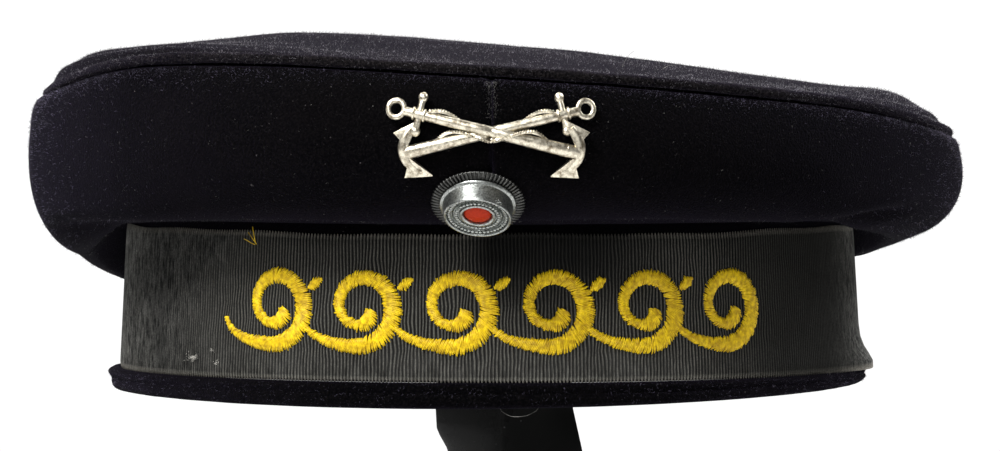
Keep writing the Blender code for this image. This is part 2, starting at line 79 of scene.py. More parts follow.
def makeLamps():  # the camera sees white paper, and everything else the soft room
    for name, (place, aim, across, up, watts) in studioLamps.items():
        lamp = bpy.data.lights.new(name, "AREA")
        lamp.shape = "RECTANGLE"
        lamp.size, lamp.size_y, lamp.energy = across, up, watts
        holder = bpy.data.objects.new(name, lamp)
        bpy.context.scene.collection.objects.link(holder)
        holder.location = place
        holder.rotation_euler = (Vector(aim) - Vector(place)).to_track_quat("-Z", "Y").to_euler()
        holder.visible_camera = False
    world = bpy.data.worlds.new("softRoom")
    bpy.context.scene.world = world
    world.use_nodes = True
    tree = world.node_tree
    room = tree.nodes["Background"]
    room.inputs["Color"].default_value = (1, 1, 1, 1)
    room.inputs["Strength"].default_value = studio["roomStrength"]
    paper = addNode(tree, "ShaderNodeBackground",
                    {"Color": (1, 1, 1, 1), "Strength": studio["paperStrength"]})
    seen = tree.nodes.new("ShaderNodeMixShader")
    tree.links.new(tree.nodes.new("ShaderNodeLightPath").outputs["Is Camera Ray"], seen.inputs[0])
    tree.links.new(room.outputs[0], seen.inputs[1])
    tree.links.new(paper.outputs[0], seen.inputs[2])
    tree.links.new(seen.outputs[0], tree.nodes["World Output"].inputs["Surface"])
    bpy.context.scene.view_settings.view_transform = "Standard"


def pickOnly(obj):
    bpy.ops.object.select_all(action="DESELECT")
    obj.select_set(True)
    bpy.context.view_layer.objects.active = obj


def smoothStep(value, low, high):
    share = np.clip((value - low) / (high - low), 0, 1)
    return share * share * (3 - 2 * share)


def smoothWindow(value, stops):  # rises between the first two stops and falls between the last two
    return smoothStep(value, stops[0], stops[1]) * (1 - smoothStep(value, stops[2], stops[3]))


def hump(value, middle, width):
    return np.exp(-((value - middle) / width) ** 2)


def softNoise(points, size, seed):  # smooth heights of about -1 to 1, from waves in random directions
    dice = np.random.default_rng(seed)
    total = np.zeros(points.shape[:-1])
    for _ in range(9):
        direction = dice.normal(size=3)
        direction *= 2 * math.pi / (size * np.linalg.norm(direction)) * dice.uniform(0.6, 1.5)
        total += np.sin(points @ direction + dice.uniform(0, 2 * math.pi))
    return total / 3


def applyAll(obj):
    pickOnly(obj)
    for modifier in list(obj.modifiers):
        bpy.ops.object.modifier_apply(modifier=modifier.name)


def setPoints(obj, points):
    obj.data.vertices.foreach_set("co", np.asarray(points, np.float32).ravel())
    obj.data.update()


def getPoints(obj):
    points = np.zeros(len(obj.data.vertices) * 3, np.float32)
    obj.data.vertices.foreach_get("co", points)
    return points.reshape(-1, 3).astype(float)


def addShape(operator, **settings):
    bpy.ops.object.select_all(action="DESELECT")
    operator(**settings)
    return bpy.context.active_object


def clothGrid(name, columns, rows, place, closeColumns=False, closeRows=False):
    obj = addShape(bpy.ops.mesh.primitive_grid_add, x_subdivisions=columns, y_subdivisions=rows, size=1)
    obj.name = obj.data.name = name
    flat = getPoints(obj)
    setPoints(obj, place(flat[:, 0] + 0.5, flat[:, 1] + 0.5))
    if closeColumns or closeRows:
        editAll(obj)
        bpy.ops.mesh.remove_doubles(threshold=0.00001)
        bpy.ops.object.mode_set(mode="OBJECT")
    bpy.ops.object.shade_smooth()
    return obj


def addWall(obj, thickness):
    wall = obj.modifiers.new("wall", "SOLIDIFY")
    wall.thickness = thickness
    wall.offset = -1
    applyAll(obj)
    bpy.ops.object.shade_smooth()


def editAll(obj):
    pickOnly(obj)
    bpy.ops.object.mode_set(mode="EDIT")
    bpy.ops.mesh.select_all(action="SELECT")


def closeShape(obj, smoothAngle=None):  # merges doubles and turns the faces outwards
    editAll(obj)
    bpy.ops.mesh.remove_doubles(threshold=0.00001)
    bpy.ops.mesh.normals_make_consistent(inside=False)
    bpy.ops.object.mode_set(mode="OBJECT")
    if smoothAngle is None:
        bpy.ops.object.shade_smooth()
    else:
        bpy.ops.object.shade_smooth_by_angle(angle=math.radians(smoothAngle))


def cutAlong(obj, axis, first, last, count):  # even cuts across a piece, so that it can bend
    normal = [0.0, 0.0, 0.0]
    normal[axis] = 1.0
    for step in range(1, count):
        place = [0.0, 0.0, 0.0]
        place[axis] = first + (last - first) * step / count
        editAll(obj)
        bpy.ops.mesh.bisect(plane_co=place, plane_no=normal)
        bpy.ops.object.mode_set(mode="OBJECT")


def joinPieces(pieces, name):
    bpy.ops.object.select_all(action="DESELECT")
    for piece in pieces:
        piece.select_set(True)
    bpy.context.view_layer.objects.active = pieces[0]
    bpy.ops.object.join()
    pieces[0].name = pieces[0].data.name = name
    return pieces[0]


def settle(obj):  # the object goes to the origin and its place into its mesh
    pickOnly(obj)
    bpy.ops.object.transform_apply(location=True, rotation=True, scale=True)
    return obj


def tubeAlong(name, points, radii, sides=8):  # a round bar that follows points, closed where its radius is 0
    points, radii = np.asarray(points, float), np.asarray(radii, float)
    count = len(points)
    ahead = np.gradient(points, axis=0)
    ahead /= np.linalg.norm(ahead, axis=1, keepdims=True)
    beside = np.cross(ahead, (0.31, 0.87, 0.38))
    beside /= np.linalg.norm(beside, axis=1, keepdims=True)
    above = np.cross(beside, ahead)

    def place(across, up):
        spot = np.round(across * (count - 1)).astype(int)
        swing = 2 * math.pi * up
        return (points[spot] + beside[spot] * (radii[spot] * np.cos(swing))[..., None]
                + above[spot] * (radii[spot] * np.sin(swing))[..., None])

    tube = clothGrid(name, count - 1, sides, place, closeColumns=True, closeRows=True)
    closeShape(tube)
    return tube


def turnedPiece(name, profile, steps, smoothAngle=40):  # a closed outline of radius and height, spun round Z
    obj = addShape(bpy.ops.mesh.primitive_circle_add, vertices=len(profile), radius=1, fill_type="NOTHING")
    obj.name = obj.data.name = name
    setPoints(obj, [(radius, 0, height) for radius, height in profile])
    editAll(obj)
    bpy.ops.mesh.spin(steps=steps, angle=2 * math.pi, center=(0, 0, 0), axis=(0, 0, 1))
    bpy.ops.object.mode_set(mode="OBJECT")
    closeShape(obj, smoothAngle)
    return obj


def repeatModel(name, model, places):  # one mesh with a copy of the model's faces at each set of places
    source = model.data
    corners, count = len(source.vertices), len(places)
    loops, starts = np.zeros(len(source.loops), np.int32), np.zeros(len(source.polygons), np.int32)
    source.loops.foreach_get("vertex_index", loops)
    source.polygons.foreach_get("loop_start", starts)
    step = np.arange(count)[:, None]
    mesh = bpy.data.meshes.new(name)
    mesh.vertices.add(count * corners)
    mesh.vertices.foreach_set("co", np.asarray(places, np.float32).ravel())
    mesh.loops.add(count * len(loops))
    mesh.loops.foreach_set("vertex_index", (loops + step * corners).ravel().astype(np.int32))
    mesh.polygons.add(count * len(starts))
    mesh.polygons.foreach_set("loop_start", (starts + step * len(loops)).ravel().astype(np.int32))
    mesh.polygons.foreach_set("use_smooth", np.ones(count * len(starts), bool))
    mesh.update(calc_edges=True)
    obj = bpy.data.objects.new(name, mesh)
    bpy.context.scene.collection.objects.link(obj)
    bpy.data.objects.remove(model)
    return obj


def unit(vectors):
    return vectors / np.maximum(np.linalg.norm(vectors, axis=-1, keepdims=True), 1e-12)


def fibres(name, roots, directions, lengths, radii):  # thin closed spikes, each a three-sided cone
    model = addShape(bpy.ops.mesh.primitive_cone_add, vertices=3, radius1=1, radius2=0, depth=1)
    local = getPoints(model)
    ahead = unit(directions)
    beside = unit(np.cross(ahead, (0.3, 0.5, 0.81)))
    above = np.cross(ahead, beside)
    along = (local[:, 2] + 0.5)[None, :, None] * (lengths[:, None] * ahead)[:, None, :]
    across = (local[:, 0][None, :, None] * beside[:, None, :]
              + local[:, 1][None, :, None] * above[:, None, :]) * radii[:, None, None]
    return repeatModel(name, model, roots[:, None, :] + along + across)


def finishPiece(obj, material, replaced=()):
    obj.data.materials.clear()
    obj.data.materials.append(material)
    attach(obj, "root")
    if replaced:
        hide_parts(*replaced)


def startMaterial(name, values):
    material = bpy.data.materials.new(name)
    material.use_nodes = True
    tree = material.node_tree
    shader = tree.nodes["Principled BSDF"]
    for socket, value in values.items():
        shader.inputs[socket].default_value = value
    return material, tree, shader, addNode(tree, "ShaderNodeTexCoord").outputs["Object"]


def addNode(tree, kind, values=(), **settings):
    node = tree.nodes.new(kind)
    for key, value in settings.items():
        setattr(node, key, value)
    for socket, value in dict(values).items():
        node.inputs[socket].default_value = value
    return node


def addRamp(tree, source, stops):  # stops: place, then a grey or a colour
    ramp = tree.nodes.new("ShaderNodeValToRGB")
    while len(ramp.color_ramp.elements) < len(stops):
        ramp.color_ramp.elements.new(0.5)
    for element, (place, colour) in zip(ramp.color_ramp.elements, stops):
        element.position = place
        element.color = (colour, colour, colour, 1) if isinstance(colour, (int, float)) else (*colour, 1)
    tree.links.new(source, ramp.inputs["Fac"])
    return ramp.outputs["Color"]


def feed(tree, value, socket):  # value: another socket, a number or a colour
    if isinstance(value, bpy.types.NodeSocket):
        tree.links.new(value, socket)
    else:
        socket.default_value = (*value, 1) if isinstance(value, tuple) else value


def addMix(tree, share, first, second, mode="MIX"):
    mix = addNode(tree, "ShaderNodeMix", data_type="RGBA", blend_type=mode)
    for socket, value in ((0, share), (6, first), (7, second)):
        feed(tree, value, mix.inputs[socket])
    return mix.outputs[2]


def addMath(tree, operation, first, second=0.0, clamp=False):
    node = addNode(tree, "ShaderNodeMath", operation=operation, use_clamp=clamp)
    for socket, value in enumerate((first, second)):
        feed(tree, value, node.inputs[socket])
    return node.outputs[0]


def addNoise(tree, coordinates, scale, detail=2.0, roughness=0.5):
    noise = addNode(tree, "ShaderNodeTexNoise", {"Scale": scale, "Detail": detail, "Roughness": roughness})
    tree.links.new(coordinates, noise.inputs["Vector"])
    return noise.outputs["Fac"]


def addBump(tree, shader, height, strength, distance, below=None):
    bump = addNode(tree, "ShaderNodeBump", {"Strength": strength, "Distance": distance})
    tree.links.new(height, bump.inputs["Height"])
    if below is not None:
        tree.links.new(below.outputs["Normal"], bump.inputs["Normal"])
    tree.links.new(bump.outputs["Normal"], shader.inputs["Normal"])
    return bump


woolLook = {
    "dark": (0.0003, 0.0003, 0.0004), "light": (0.0042, 0.0036, 0.0037), "lint": (0.060, 0.055, 0.056),
    "napScale": 1900.0, "patchScale": 24.0, "lintScale": 900.0, "sheen": 0.024,
    "sheenTint": (0.64, 0.52, 0.95, 1),
    # how much stronger the sheen, and how much paler the colour is made as painted light on the top and the
    # welt, which face the lamps
    "kinds": {"navyWool": (1.0, 1.0), "topWoolWithPaintedLight": (1.2, 3.0), "weltWoolWithPaintedLight": (1.6, 5.0)},
}

# the colours of the loose fibres; the second and third are the dark wool's own fibres made pale as painted
# light on the top and the welt, and as painted sheen on the crown's ends, upper edge and hem
fibreLook = {
    "woolNap": (0.012, 0.011, 0.016), "paintedLightNap": (0.255, 0.240, 0.270), "paintedSheenNap": (0.150, 0.130, 0.200),
    "paleLint": (0.30, 0.29, 0.27), "paleFluff": (0.62, 0.60, 0.54),
}


def makeWool(name):
    lift, paintedLightGain = woolLook["kinds"][name]
    # the top and the welt get a paler colour of the same wool: painted light where they face the lamps
    light = tuple(part * paintedLightGain for part in woolLook["light"])
    material, tree, shader, place = startMaterial(name, {
        "Roughness": 1.0, "Specular IOR Level": 0.02, "Sheen Weight": woolLook["sheen"] * lift,
        "Sheen Roughness": 0.42, "Sheen Tint": woolLook["sheenTint"]})
    nap = addNoise(tree, place, woolLook["napScale"], 3.0, 0.65)
    patch = addNoise(tree, place, woolLook["patchScale"], 4.0, 0.6)
    colour = addMix(tree, addRamp(tree, nap, ((0.45, 0.0), (0.68, 0.8))), woolLook["dark"], light)
    colour = addMix(tree, addRamp(tree, patch, ((0.45, 0.0), (0.75, 0.25))), colour, light)
    lint = addNoise(tree, place, woolLook["lintScale"], 2.0, 0.7)
    colour = addMix(tree, addRamp(tree, lint, ((0.715, 0.0), (0.765, 1.0))), colour, woolLook["lint"])
    tree.links.new(colour, shader.inputs["Base Color"])
    coarse = addNoise(tree, place, woolLook["napScale"] / 2, 4.0, 0.7)
    low = addBump(tree, shader, coarse, 0.40, 0.0004)
    addBump(tree, shader, nap, 1.0, 0.0004, low)
    return material


def makeFibre(name):
    colour = fibreLook[name]
    material, tree, shader, place = startMaterial(name, {
        "Roughness": 0.8, "Specular IOR Level": 0.2, "Sheen Weight": 0.1})
    tone = addNoise(tree, place, 400.0, 1.0)
    dark = tuple(part * 0.12 for part in colour)
    tree.links.new(addMix(tree, addRamp(tree, tone, ((0.35, 0.0), (0.65, 1.0))), dark, colour),
                   shader.inputs["Base Color"])
    return material


ribbonLook = {
    "thread": (0.106, 0.103, 0.088), "groove": (0.0008, 0.0008, 0.0006), "dustAndRimLight": (0.240, 0.238, 0.224),
    "picot": (0.64, 0.60, 0.52), "dustScale": 55.0, "streakScale": 1500.0, "warpPitch": 0.00026,
}


def makeGrosgrain():
    material, tree, shader, place = startMaterial("blackGrosgrain", {
        "Roughness": 0.7, "Specular IOR Level": 0.10, "Sheen Weight": 0.03, "Sheen Roughness": 0.4})
    rib, fade, picot = (addNode(tree, "ShaderNodeAttribute", attribute_name=name).outputs["Fac"]
                        for name in ("ribHeight", "fade", "picot"))
    # the rib grooves are painted near black as shade between the ribs; the rib height chooses the groove
    # shade or the thread colour
    colour = addMix(tree, addRamp(tree, rib, ((0.40, 0.0), (0.98, 1.0))), ribbonLook["groove"],
                    ribbonLook["thread"])
    dust = addNoise(tree, place, ribbonLook["dustScale"], 6.0, 0.7)
    # paler where the fade is: dust, with painted rim light at the ribbon's ends
    dustAndRimLightShare = addMath(tree, "MULTIPLY", fade, addRamp(tree, dust, ((0.30, 0.25), (0.70, 1.0))))
    colour = addMix(tree, dustAndRimLightShare, colour, ribbonLook["dustAndRimLight"])
    stretch = addNode(tree, "ShaderNodeMapping", {"Scale": (1.0, 1.0, 0.16)})
    tree.links.new(place, stretch.inputs["Vector"])
    streak = addNoise(tree, stretch.outputs["Vector"], ribbonLook["streakScale"], 3.0, 0.7)
    # streaks only where the fade is, so also over the painted rim light at the ends
    worn = addMath(tree, "MULTIPLY", fade, 3.2, clamp=True)
    colour = addMix(tree, worn, colour, addRamp(tree, streak, ((0.38, 0.10), (0.62, 1.25))), "MULTIPLY")
    colour = addMix(tree, picot, colour, ribbonLook["picot"])
    fine = addNoise(tree, place, 2600.0, 2.0, 0.6)
    colour = addMix(tree, 0.65, colour, addRamp(tree, fine, ((0.3, 0.15), (0.7, 1.0))), "MULTIPLY")
    # the tone carries painted shade and painted rim light besides the threads' own tone
    tone = addNode(tree, "ShaderNodeAttribute", attribute_name="tone").outputs["Color"]
    colour = addMix(tree, 1.0, colour, tone, "MULTIPLY")
    tree.links.new(colour, shader.inputs["Base Color"])
    parts = addNode(tree, "ShaderNodeSeparateXYZ")
    tree.links.new(place, parts.inputs[0])
    warp = addMath(tree, "MULTIPLY", parts.outputs["Z"], 2 * math.pi / ribbonLook["warpPitch"])
    low = addBump(tree, shader, addMath(tree, "SINE", warp), 0.25, 0.00005)
    addBump(tree, shader, fine, 0.35, 0.00015, low)
    return material


threadLook = {"dark": (0.36, 0.22, 0.002), "light": (0.80, 0.57, 0.006), "shade": (0.38, 0.22, 0.01)}


def makeGoldThread():
    material, tree, shader, place = startMaterial("yellowThread", {
        "Roughness": 0.45, "Specular IOR Level": 0.25, "Sheen Weight": 0.10, "Sheen Roughness": 0.3,
        "Sheen Tint": (1.0, 0.80, 0.20, 1)})
    tone = addNoise(tree, place, 900.0, 2.0)
    patch = addNoise(tree, place, 60.0, 2.0)
    colour = addMix(tree, addRamp(tree, tone, ((0.3, 0.0), (0.7, 1.0))), threadLook["dark"],
                    threadLook["light"])
    colour = addMix(tree, addRamp(tree, patch, ((0.4, 0.0), (0.8, 0.4))), colour, threadLook["shade"])
    tree.links.new(colour, shader.inputs["Base Color"])
    strands = addNode(tree, "ShaderNodeTexWave", {"Scale": 2.6, "Distortion": 1.2, "Detail": 1.0},
                      wave_type="BANDS", bands_direction="Y")
    tree.links.new(place.node.outputs["UV"], strands.inputs["Vector"])
    addBump(tree, shader, strands.outputs["Fac"], 0.35, 0.00006)
    return material


metalLook = {
    "agedNickel": {"light": (0.80, 0.74, 0.60), "dark": (0.16, 0.12, 0.07), "roughness": 0.36, "grime": 0.9,
                   "scale": 700.0},
    "darkRibbedMetal": {"light": (0.105, 0.105, 0.10), "dark": (0.02, 0.02, 0.02), "roughness": 0.42,
                        "grime": 0.5, "scale": 420.0},
    "dullZinc": {"light": (0.44, 0.46, 0.44), "dark": (0.06, 0.06, 0.055), "roughness": 0.34, "grime": 0.75,
                 "scale": 1900.0},
}


def makeMetal(name):
    look = metalLook[name]
    material, tree, shader, place = startMaterial(name, {"Metallic": 1.0, "Specular IOR Level": 0.5})
    tarnish = addNoise(tree, place, look["scale"], 5.0, 0.65)
    fine = addNoise(tree, place, 2600.0, 3.0, 0.6)
    colour = addMix(tree, addRamp(tree, tarnish, ((0.42, 0.0), (0.66, look["grime"]))), look["light"],
                    look["dark"])
    tree.links.new(colour, shader.inputs["Base Color"])
    tree.links.new(addRamp(tree, fine, ((0.3, look["roughness"] - 0.10), (0.7, look["roughness"] + 0.12))),
                   shader.inputs["Roughness"])
    addBump(tree, shader, fine, 0.25, 0.00008)
    return material


enamelLook = {"clean": (0.38, 0.024, 0.004), "worn": (0.19, 0.013, 0.004)}


def makeEnamel():
    material, tree, shader, place = startMaterial("redEnamel", {"Specular IOR Level": 0.14})
    worn = addNoise(tree, place, 1500.0, 4.0, 0.7)
    colour = addMix(tree, addRamp(tree, worn, ((0.50, 0.0), (0.74, 0.8))), enamelLook["clean"],
                    enamelLook["worn"])
    tree.links.new(colour, shader.inputs["Base Color"])
    tree.links.new(addRamp(tree, worn, ((0.3, 0.35), (0.7, 0.6))), shader.inputs["Roughness"])
    addBump(tree, shader, worn, 0.3, 0.0001)
    return material


plasticLook = {
    "clean": (0.0022, 0.0023, 0.0022), "smeared": (0.0046, 0.0048, 0.0045), "dust": (0.10, 0.10, 0.10),
}


def makePlastic():
    material, tree, shader, place = startMaterial("blackPlastic", {"Specular IOR Level": 0.08})
    smear = addNoise(tree, place, 35.0, 4.0, 0.6)
    fine = addNoise(tree, place, 900.0, 3.0, 0.6)
    dust = addNoise(tree, place, 700.0, 2.0, 0.7)
    colour = addMix(tree, addRamp(tree, smear, ((0.35, 0.0), (0.75, 1.0))), plasticLook["clean"],
                    plasticLook["smeared"])
    colour = addMix(tree, addRamp(tree, dust, ((0.72, 0.0), (0.78, 1.0))), colour, plasticLook["dust"])
    tree.links.new(colour, shader.inputs["Base Color"])
    tree.links.new(addRamp(tree, smear, ((0.3, 0.22), (0.8, 0.42))), shader.inputs["Roughness"])
    addBump(tree, shader, fine, 0.12, 0.0002)
    return material


def makeFloor():
    material, tree, shader, place = startMaterial("paleFloor", {"Roughness": 0.9, "Specular IOR Level": 0.1})
    grain = addNoise(tree, place, 6.0, 3.0)
    tree.links.new(addMix(tree, addRamp(tree, grain, ((0.3, 0.0), (0.7, 1.0))), *studio["floorTones"]),
                   shader.inputs["Base Color"])
    away = addNode(tree, "ShaderNodeVectorMath", operation="LENGTH")
    tree.links.new(place, away.inputs[0])
    fade = addNode(tree, "ShaderNodeMapRange", {"From Min": studio["fadeFrom"], "From Max": studio["fadeTo"]},
                   interpolation_type="SMOOTHSTEP")
    tree.links.new(away.outputs["Value"], fade.inputs["Value"])
    blend = tree.nodes.new("ShaderNodeMixShader")
    tree.links.new(fade.outputs["Result"], blend.inputs[0])
    tree.links.new(shader.outputs[0], blend.inputs[1])
    tree.links.new(tree.nodes.new("ShaderNodeBsdfTransparent").outputs[0], blend.inputs[2])
    tree.links.new(blend.outputs[0], tree.nodes["Material Output"].inputs["Surface"])
    floor = addShape(bpy.ops.mesh.primitive_circle_add, vertices=128, radius=studio["floorRadius"],
                     fill_type="NGON")
    floor.name = "studioFloor"
    floor.data.materials.append(material)


# the shapes that the pieces follow, the same as the solids'; lengths in metres, angles in degrees
rimLift = 0.090

crownShape = {
    "halfWidth": 0.119, "halfDepth": 0.121, "height": 0.088, "dome": 0.0056, "tilt": -0.085,
    "weltRadius": 0.0015, "gap": 0.0003, "leanIn": math.radians(60),
    "ledgeRow": 1.0, "foldRow": 4.0, "fullRow": 8.0, "weltRow": 11.0,
    # every 45 degrees: fold reach and height, full reach and height, welt reach and height, shoulder power
    "sections": (
        (0.840, 0.512, 1.000, 0.760, 0.965, 0.933, 9),
        (0.880, 0.506, 1.000, 0.682, 0.980, 0.850, 10),
        (0.860, 0.403, 1.008, 0.625, 0.985, 0.738, 12),
        (0.860, 0.352, 1.000, 0.591, 0.980, 0.807, 9),
        (0.870, 0.330, 1.000, 0.614, 0.965, 0.898, 7),
        (0.860, 0.295, 1.000, 0.591, 0.965, 0.925, 6),
        (0.870, 0.375, 0.989, 0.670, 0.966, 0.850, 5),
        (0.880, 0.506, 1.000, 0.727, 0.965, 0.963, 6),
    ),
}

bandShape = {
    "halfWidth": 0.0946, "halfDepth": 0.0975, "top": 0.0440, "taper": 0.0024, "wall": 0.0030,
    "hemHeight": 0.0054, "ribbonThick": 0.0008, "rightPinch": 0.0010, "columns": 240, "rows": 10,
    "topTuck": 0.0004,
}

# folds pressed into the crown's side: turns in degrees, heights from the rim, depth and width
crownCreases = (
    {"turns": (-84, -68, -52, -40), "heights": (0.0395, 0.0412, 0.0418, 0.0425),
     "depth": 0.0022, "width": 0.0022},
    {"turns": (40, 50, 57, 68), "heights": (0.0420, 0.0432, 0.0450, 0.0462),
     "depth": 0.0024, "width": 0.0020},
    {"turns": (108, 124, 142, 158), "heights": (0.052, 0.046, 0.043, 0.046),
     "depth": 0.0014, "width": 0.0040},
    {"turns": (-160, -142, -124, -110), "heights": (0.044, 0.040, 0.042, 0.050),
     "depth": 0.0015, "width": 0.0042},
)


def ringCurve(rows, place):  # a smooth closed curve through the rows; place 0 is the first row
    rows = np.array(rows)
    first = np.floor(place).astype(int)
    share = (place - first)[..., None]
    before, start, end, after = (rows[(first + step) % len(rows)] for step in (-1, 0, 1, 2))
    square, cube = share ** 2, share ** 3
    return ((2 * cube - 3 * square + 1) * start + (cube - 2 * square + share) * (end - before) / 2
            + (3 * square - 2 * cube) * end + (cube - square) * (after - start) / 2)


def sectionAt(turn):
    return ringCurve(crownShape["sections"], (np.asarray(turn, float) % 360) / 45)


def ovalPoint(turn, halfWidth, halfDepth, height):
    angle = np.radians(turn)
    return np.stack(np.broadcast_arrays(
        halfWidth * np.sin(angle), -halfDepth * np.cos(angle), rimLift + height), axis=-1)


def outwardAt(turn):  # straight out from the middle line, with length 1
    return ovalPoint(turn, 1.0, 1.0, -rimLift)


upward = np.array((0, 0, 1.0))


def bandPoint(turn, height, out=0.0):
    inward = bandShape["taper"] * height / bandShape["top"]
    right = np.clip(np.sin(np.radians(turn)), 0, 1) ** 4
    inward = inward + bandShape["rightPinch"] * right * (0.6 + 0.4 * smoothStep(height, 0.004, 0.010))
    return ovalPoint(turn, bandShape["halfWidth"] - inward + out, bandShape["halfDepth"] - inward + out,
                     height)


def sidePoint(turn, row):
    shape = crownShape
    turn, row = np.broadcast_arrays(np.asarray(turn, float), np.asarray(row, float))
    section = np.moveaxis(sectionAt(turn), -1, 0)
    foldReach, foldHeight, fullReach, fullHeight, weltReach, weltHeight, _ = section
    foldHeight, fullHeight = foldHeight * shape["height"], fullHeight * shape["height"]
    weltHeight = weltHeight * shape["height"] - shape["weltRadius"] - shape["gap"]
    foot = bandShape["top"] + shape["gap"]
    halves = []
    for side in ("halfWidth", "halfDepth"):
        half, bandHalf = shape[side], bandShape[side]
        inner = bandHalf - bandShape["taper"] - bandShape["wall"] / 2
        ledge = bandHalf - bandShape["taper"] + bandShape["ribbonThick"] + 3 * shape["gap"]
        fold, full, welt = half * foldReach, half * fullReach, half * weltReach
        under = (row - shape["ledgeRow"]) / (shape["foldRow"] - shape["ledgeRow"])
        bulge = np.clip((row - shape["foldRow"]) / (shape["fullRow"] - shape["foldRow"]), 0, 1) * math.pi / 2
        rise = (row - shape["fullRow"]) / (shape["weltRow"] - shape["fullRow"])
        lean = np.clip(rise, 0, 1) * shape["leanIn"]
        halves.append(np.where(
            row <= shape["ledgeRow"], inner + (ledge - inner) * row / shape["ledgeRow"],
            np.where(row <= shape["foldRow"], ledge + (fold - ledge) * under,
                     np.where(row <= shape["fullRow"], fold + (full - fold) * np.sin(bulge),
                              full + (welt - full) * (1 - np.cos(lean)) / (1 - math.cos(shape["leanIn"]))))))
    eased = smoothStep(row, shape["ledgeRow"], shape["foldRow"])
    height = np.where(row <= shape["foldRow"], foot + (foldHeight - foot) * eased, np.where(
        row <= shape["fullRow"], foldHeight + (fullHeight - foldHeight) * (1 - np.cos(bulge)),
        fullHeight + (weltHeight - fullHeight) * np.sin(lean) / math.sin(shape["leanIn"])))
    return ovalPoint(turn, halves[0], halves[1], height)


def sideNormal(turn, row):
    along = sidePoint(turn + 0.5, row) - sidePoint(turn - 0.5, row)
    up = sidePoint(turn, np.minimum(row + 0.06, 11)) - sidePoint(turn, np.maximum(row - 0.06, 0))
    return unit(np.cross(along, up))


sideLook = {
    "slack": 0.00035, "slackSize": 0.070, "ripple": 0.00009, "rippleSize": 0.020,
    "seamTurns": (0, 90, 180, 270), "seamDepth": 0.0007, "seamWidth": 0.0006,
    "seamSwell": 0.0002, "seamSwellAt": 0.0026, "seamSwellWidth": 0.0014,
    "weltTuck": 0.0004, "endSwell": 0.0006, "columns": 130, "rows": 62, "wall": 0.0020, "seamGap": 0.00004,
}


def sideRelief(turn, row, point):
    height = point[..., 2] - rimLift
    free = smoothStep(row, 0.9, 4.5) * (1 - 0.6 * smoothStep(row, 9.5, 11))
    relief = free * (sideLook["slack"] * softNoise(point, sideLook["slackSize"], 3)
                     + sideLook["ripple"] * softNoise(point, sideLook["rippleSize"], 5))
    signed = (turn + 180) % 360 - 180
    for seam in sideLook["seamTurns"]:
        away = np.abs((turn - seam + 180) % 360 - 180) * math.radians(1) * crownShape["halfWidth"]
        relief += sideLook["seamSwell"] * hump(away, sideLook["seamSwellAt"], sideLook["seamSwellWidth"])
        relief -= sideLook["seamDepth"] * hump(away, 0, sideLook["seamWidth"])
    for crease in crownCreases:
        depth = crease["depth"] * smoothWindow(signed, crease["turns"]) * (row > 2)
        off = (height - np.interp(signed, crease["turns"], crease["heights"])) / crease["width"]
        relief -= depth * (hump(off, 0, 1) - 0.45 * hump(off, 2.2, 1.4))  # with a low swell above it
    end = np.sin(np.radians(turn)) ** 8
    relief -= sideLook["weltTuck"] * smoothStep(row, 10.45, 11) * (1 - end)
    relief += sideLook["endSwell"] * end * smoothStep(row, 9.0, 10.6)
    return relief


# how far the fold hangs above or below its even line: turn and lift
foldSag = ((-180, 0.0), (-142, 0.0), (-128, -0.0018), (-116, -0.0028), (-106, -0.0010), (-96, 0.0018),
           (-84, 0.0014), (-66, 0.0), (62, 0.0), (82, 0.0016), (92, 0.0030), (102, 0.0018),
           (114, -0.0008), (132, -0.0008), (150, 0.0), (180, 0.0))


def dressedSide(turn, row):
    point = sidePoint(turn, row)
    moved = point + sideNormal(turn, row) * sideRelief(turn, row, point)[..., None]
    signed = (np.asarray(turn) + 180) % 360 - 180
    sag = np.interp(signed, *zip(*foldSag))
    moved[..., 2] += sag * smoothStep(row, 1.2, 3.4) * (1 - smoothStep(row, 4.6, 8.0))
    return moved


def facePlace(across, height):  # the turn and row of the crown's face at a distance across it and a height
    turn = np.degrees(across / crownShape["halfWidth"])
    low = np.full(np.shape(turn), crownShape["foldRow"])
    high = np.full(np.shape(turn), crownShape["weltRow"])
    for _ in range(26):
        middle = (low + high) / 2
        below = sidePoint(turn, middle)[..., 2] < rimLift + height
        low, high = np.where(below, middle, low), np.where(below, high, middle)
    return turn, low


def facePoint(across, height, out):
    turn, row = facePlace(across, height)
    return dressedSide(turn, row) + sideNormal(turn, row) * np.asarray(out)[..., None]


def makeCrownSide(name, firstTurn, material, replaced):
    margin = math.degrees(sideLook["seamGap"] / crownShape["halfWidth"])
    start, span = firstTurn + margin, 90 - 2 * margin

    def place(across, up):
        bunched = across - 0.055 * np.sin(2 * math.pi * across)  # closer columns at the seams
        return dressedSide(start + span * bunched, np.interp(up, (0, 0.05, 0.24, 0.66, 1), (0, 1, 4, 8, 11)))

    side = clothGrid(name, sideLook["columns"], sideLook["rows"], place)
    addWall(side, sideLook["wall"])
    finishPiece(side, material, (replaced,))


topLook = {
    "columns": 360, "rings": 52, "slack": 0.0003, "slackSize": 0.085, "ripple": 0.00008, "rippleSize": 0.02,
    "edgeRoll": 0.0004,
    # side, lift, place and width as shares of the radius, and how closely it keeps to its side
    "swells": ((-1, 0.0036, 0.92, 0.055, 3), (-1, 0.0022, 0.976, 0.020, 3), (-1, -0.0016, 0.64, 0.16, 1.5),
               (1, 0.0022, 0.90, 0.09, 3), (1, 0.0010, 0.982, 0.018, 3), (1, -0.0009, 0.52, 0.22, 0.9)),
}


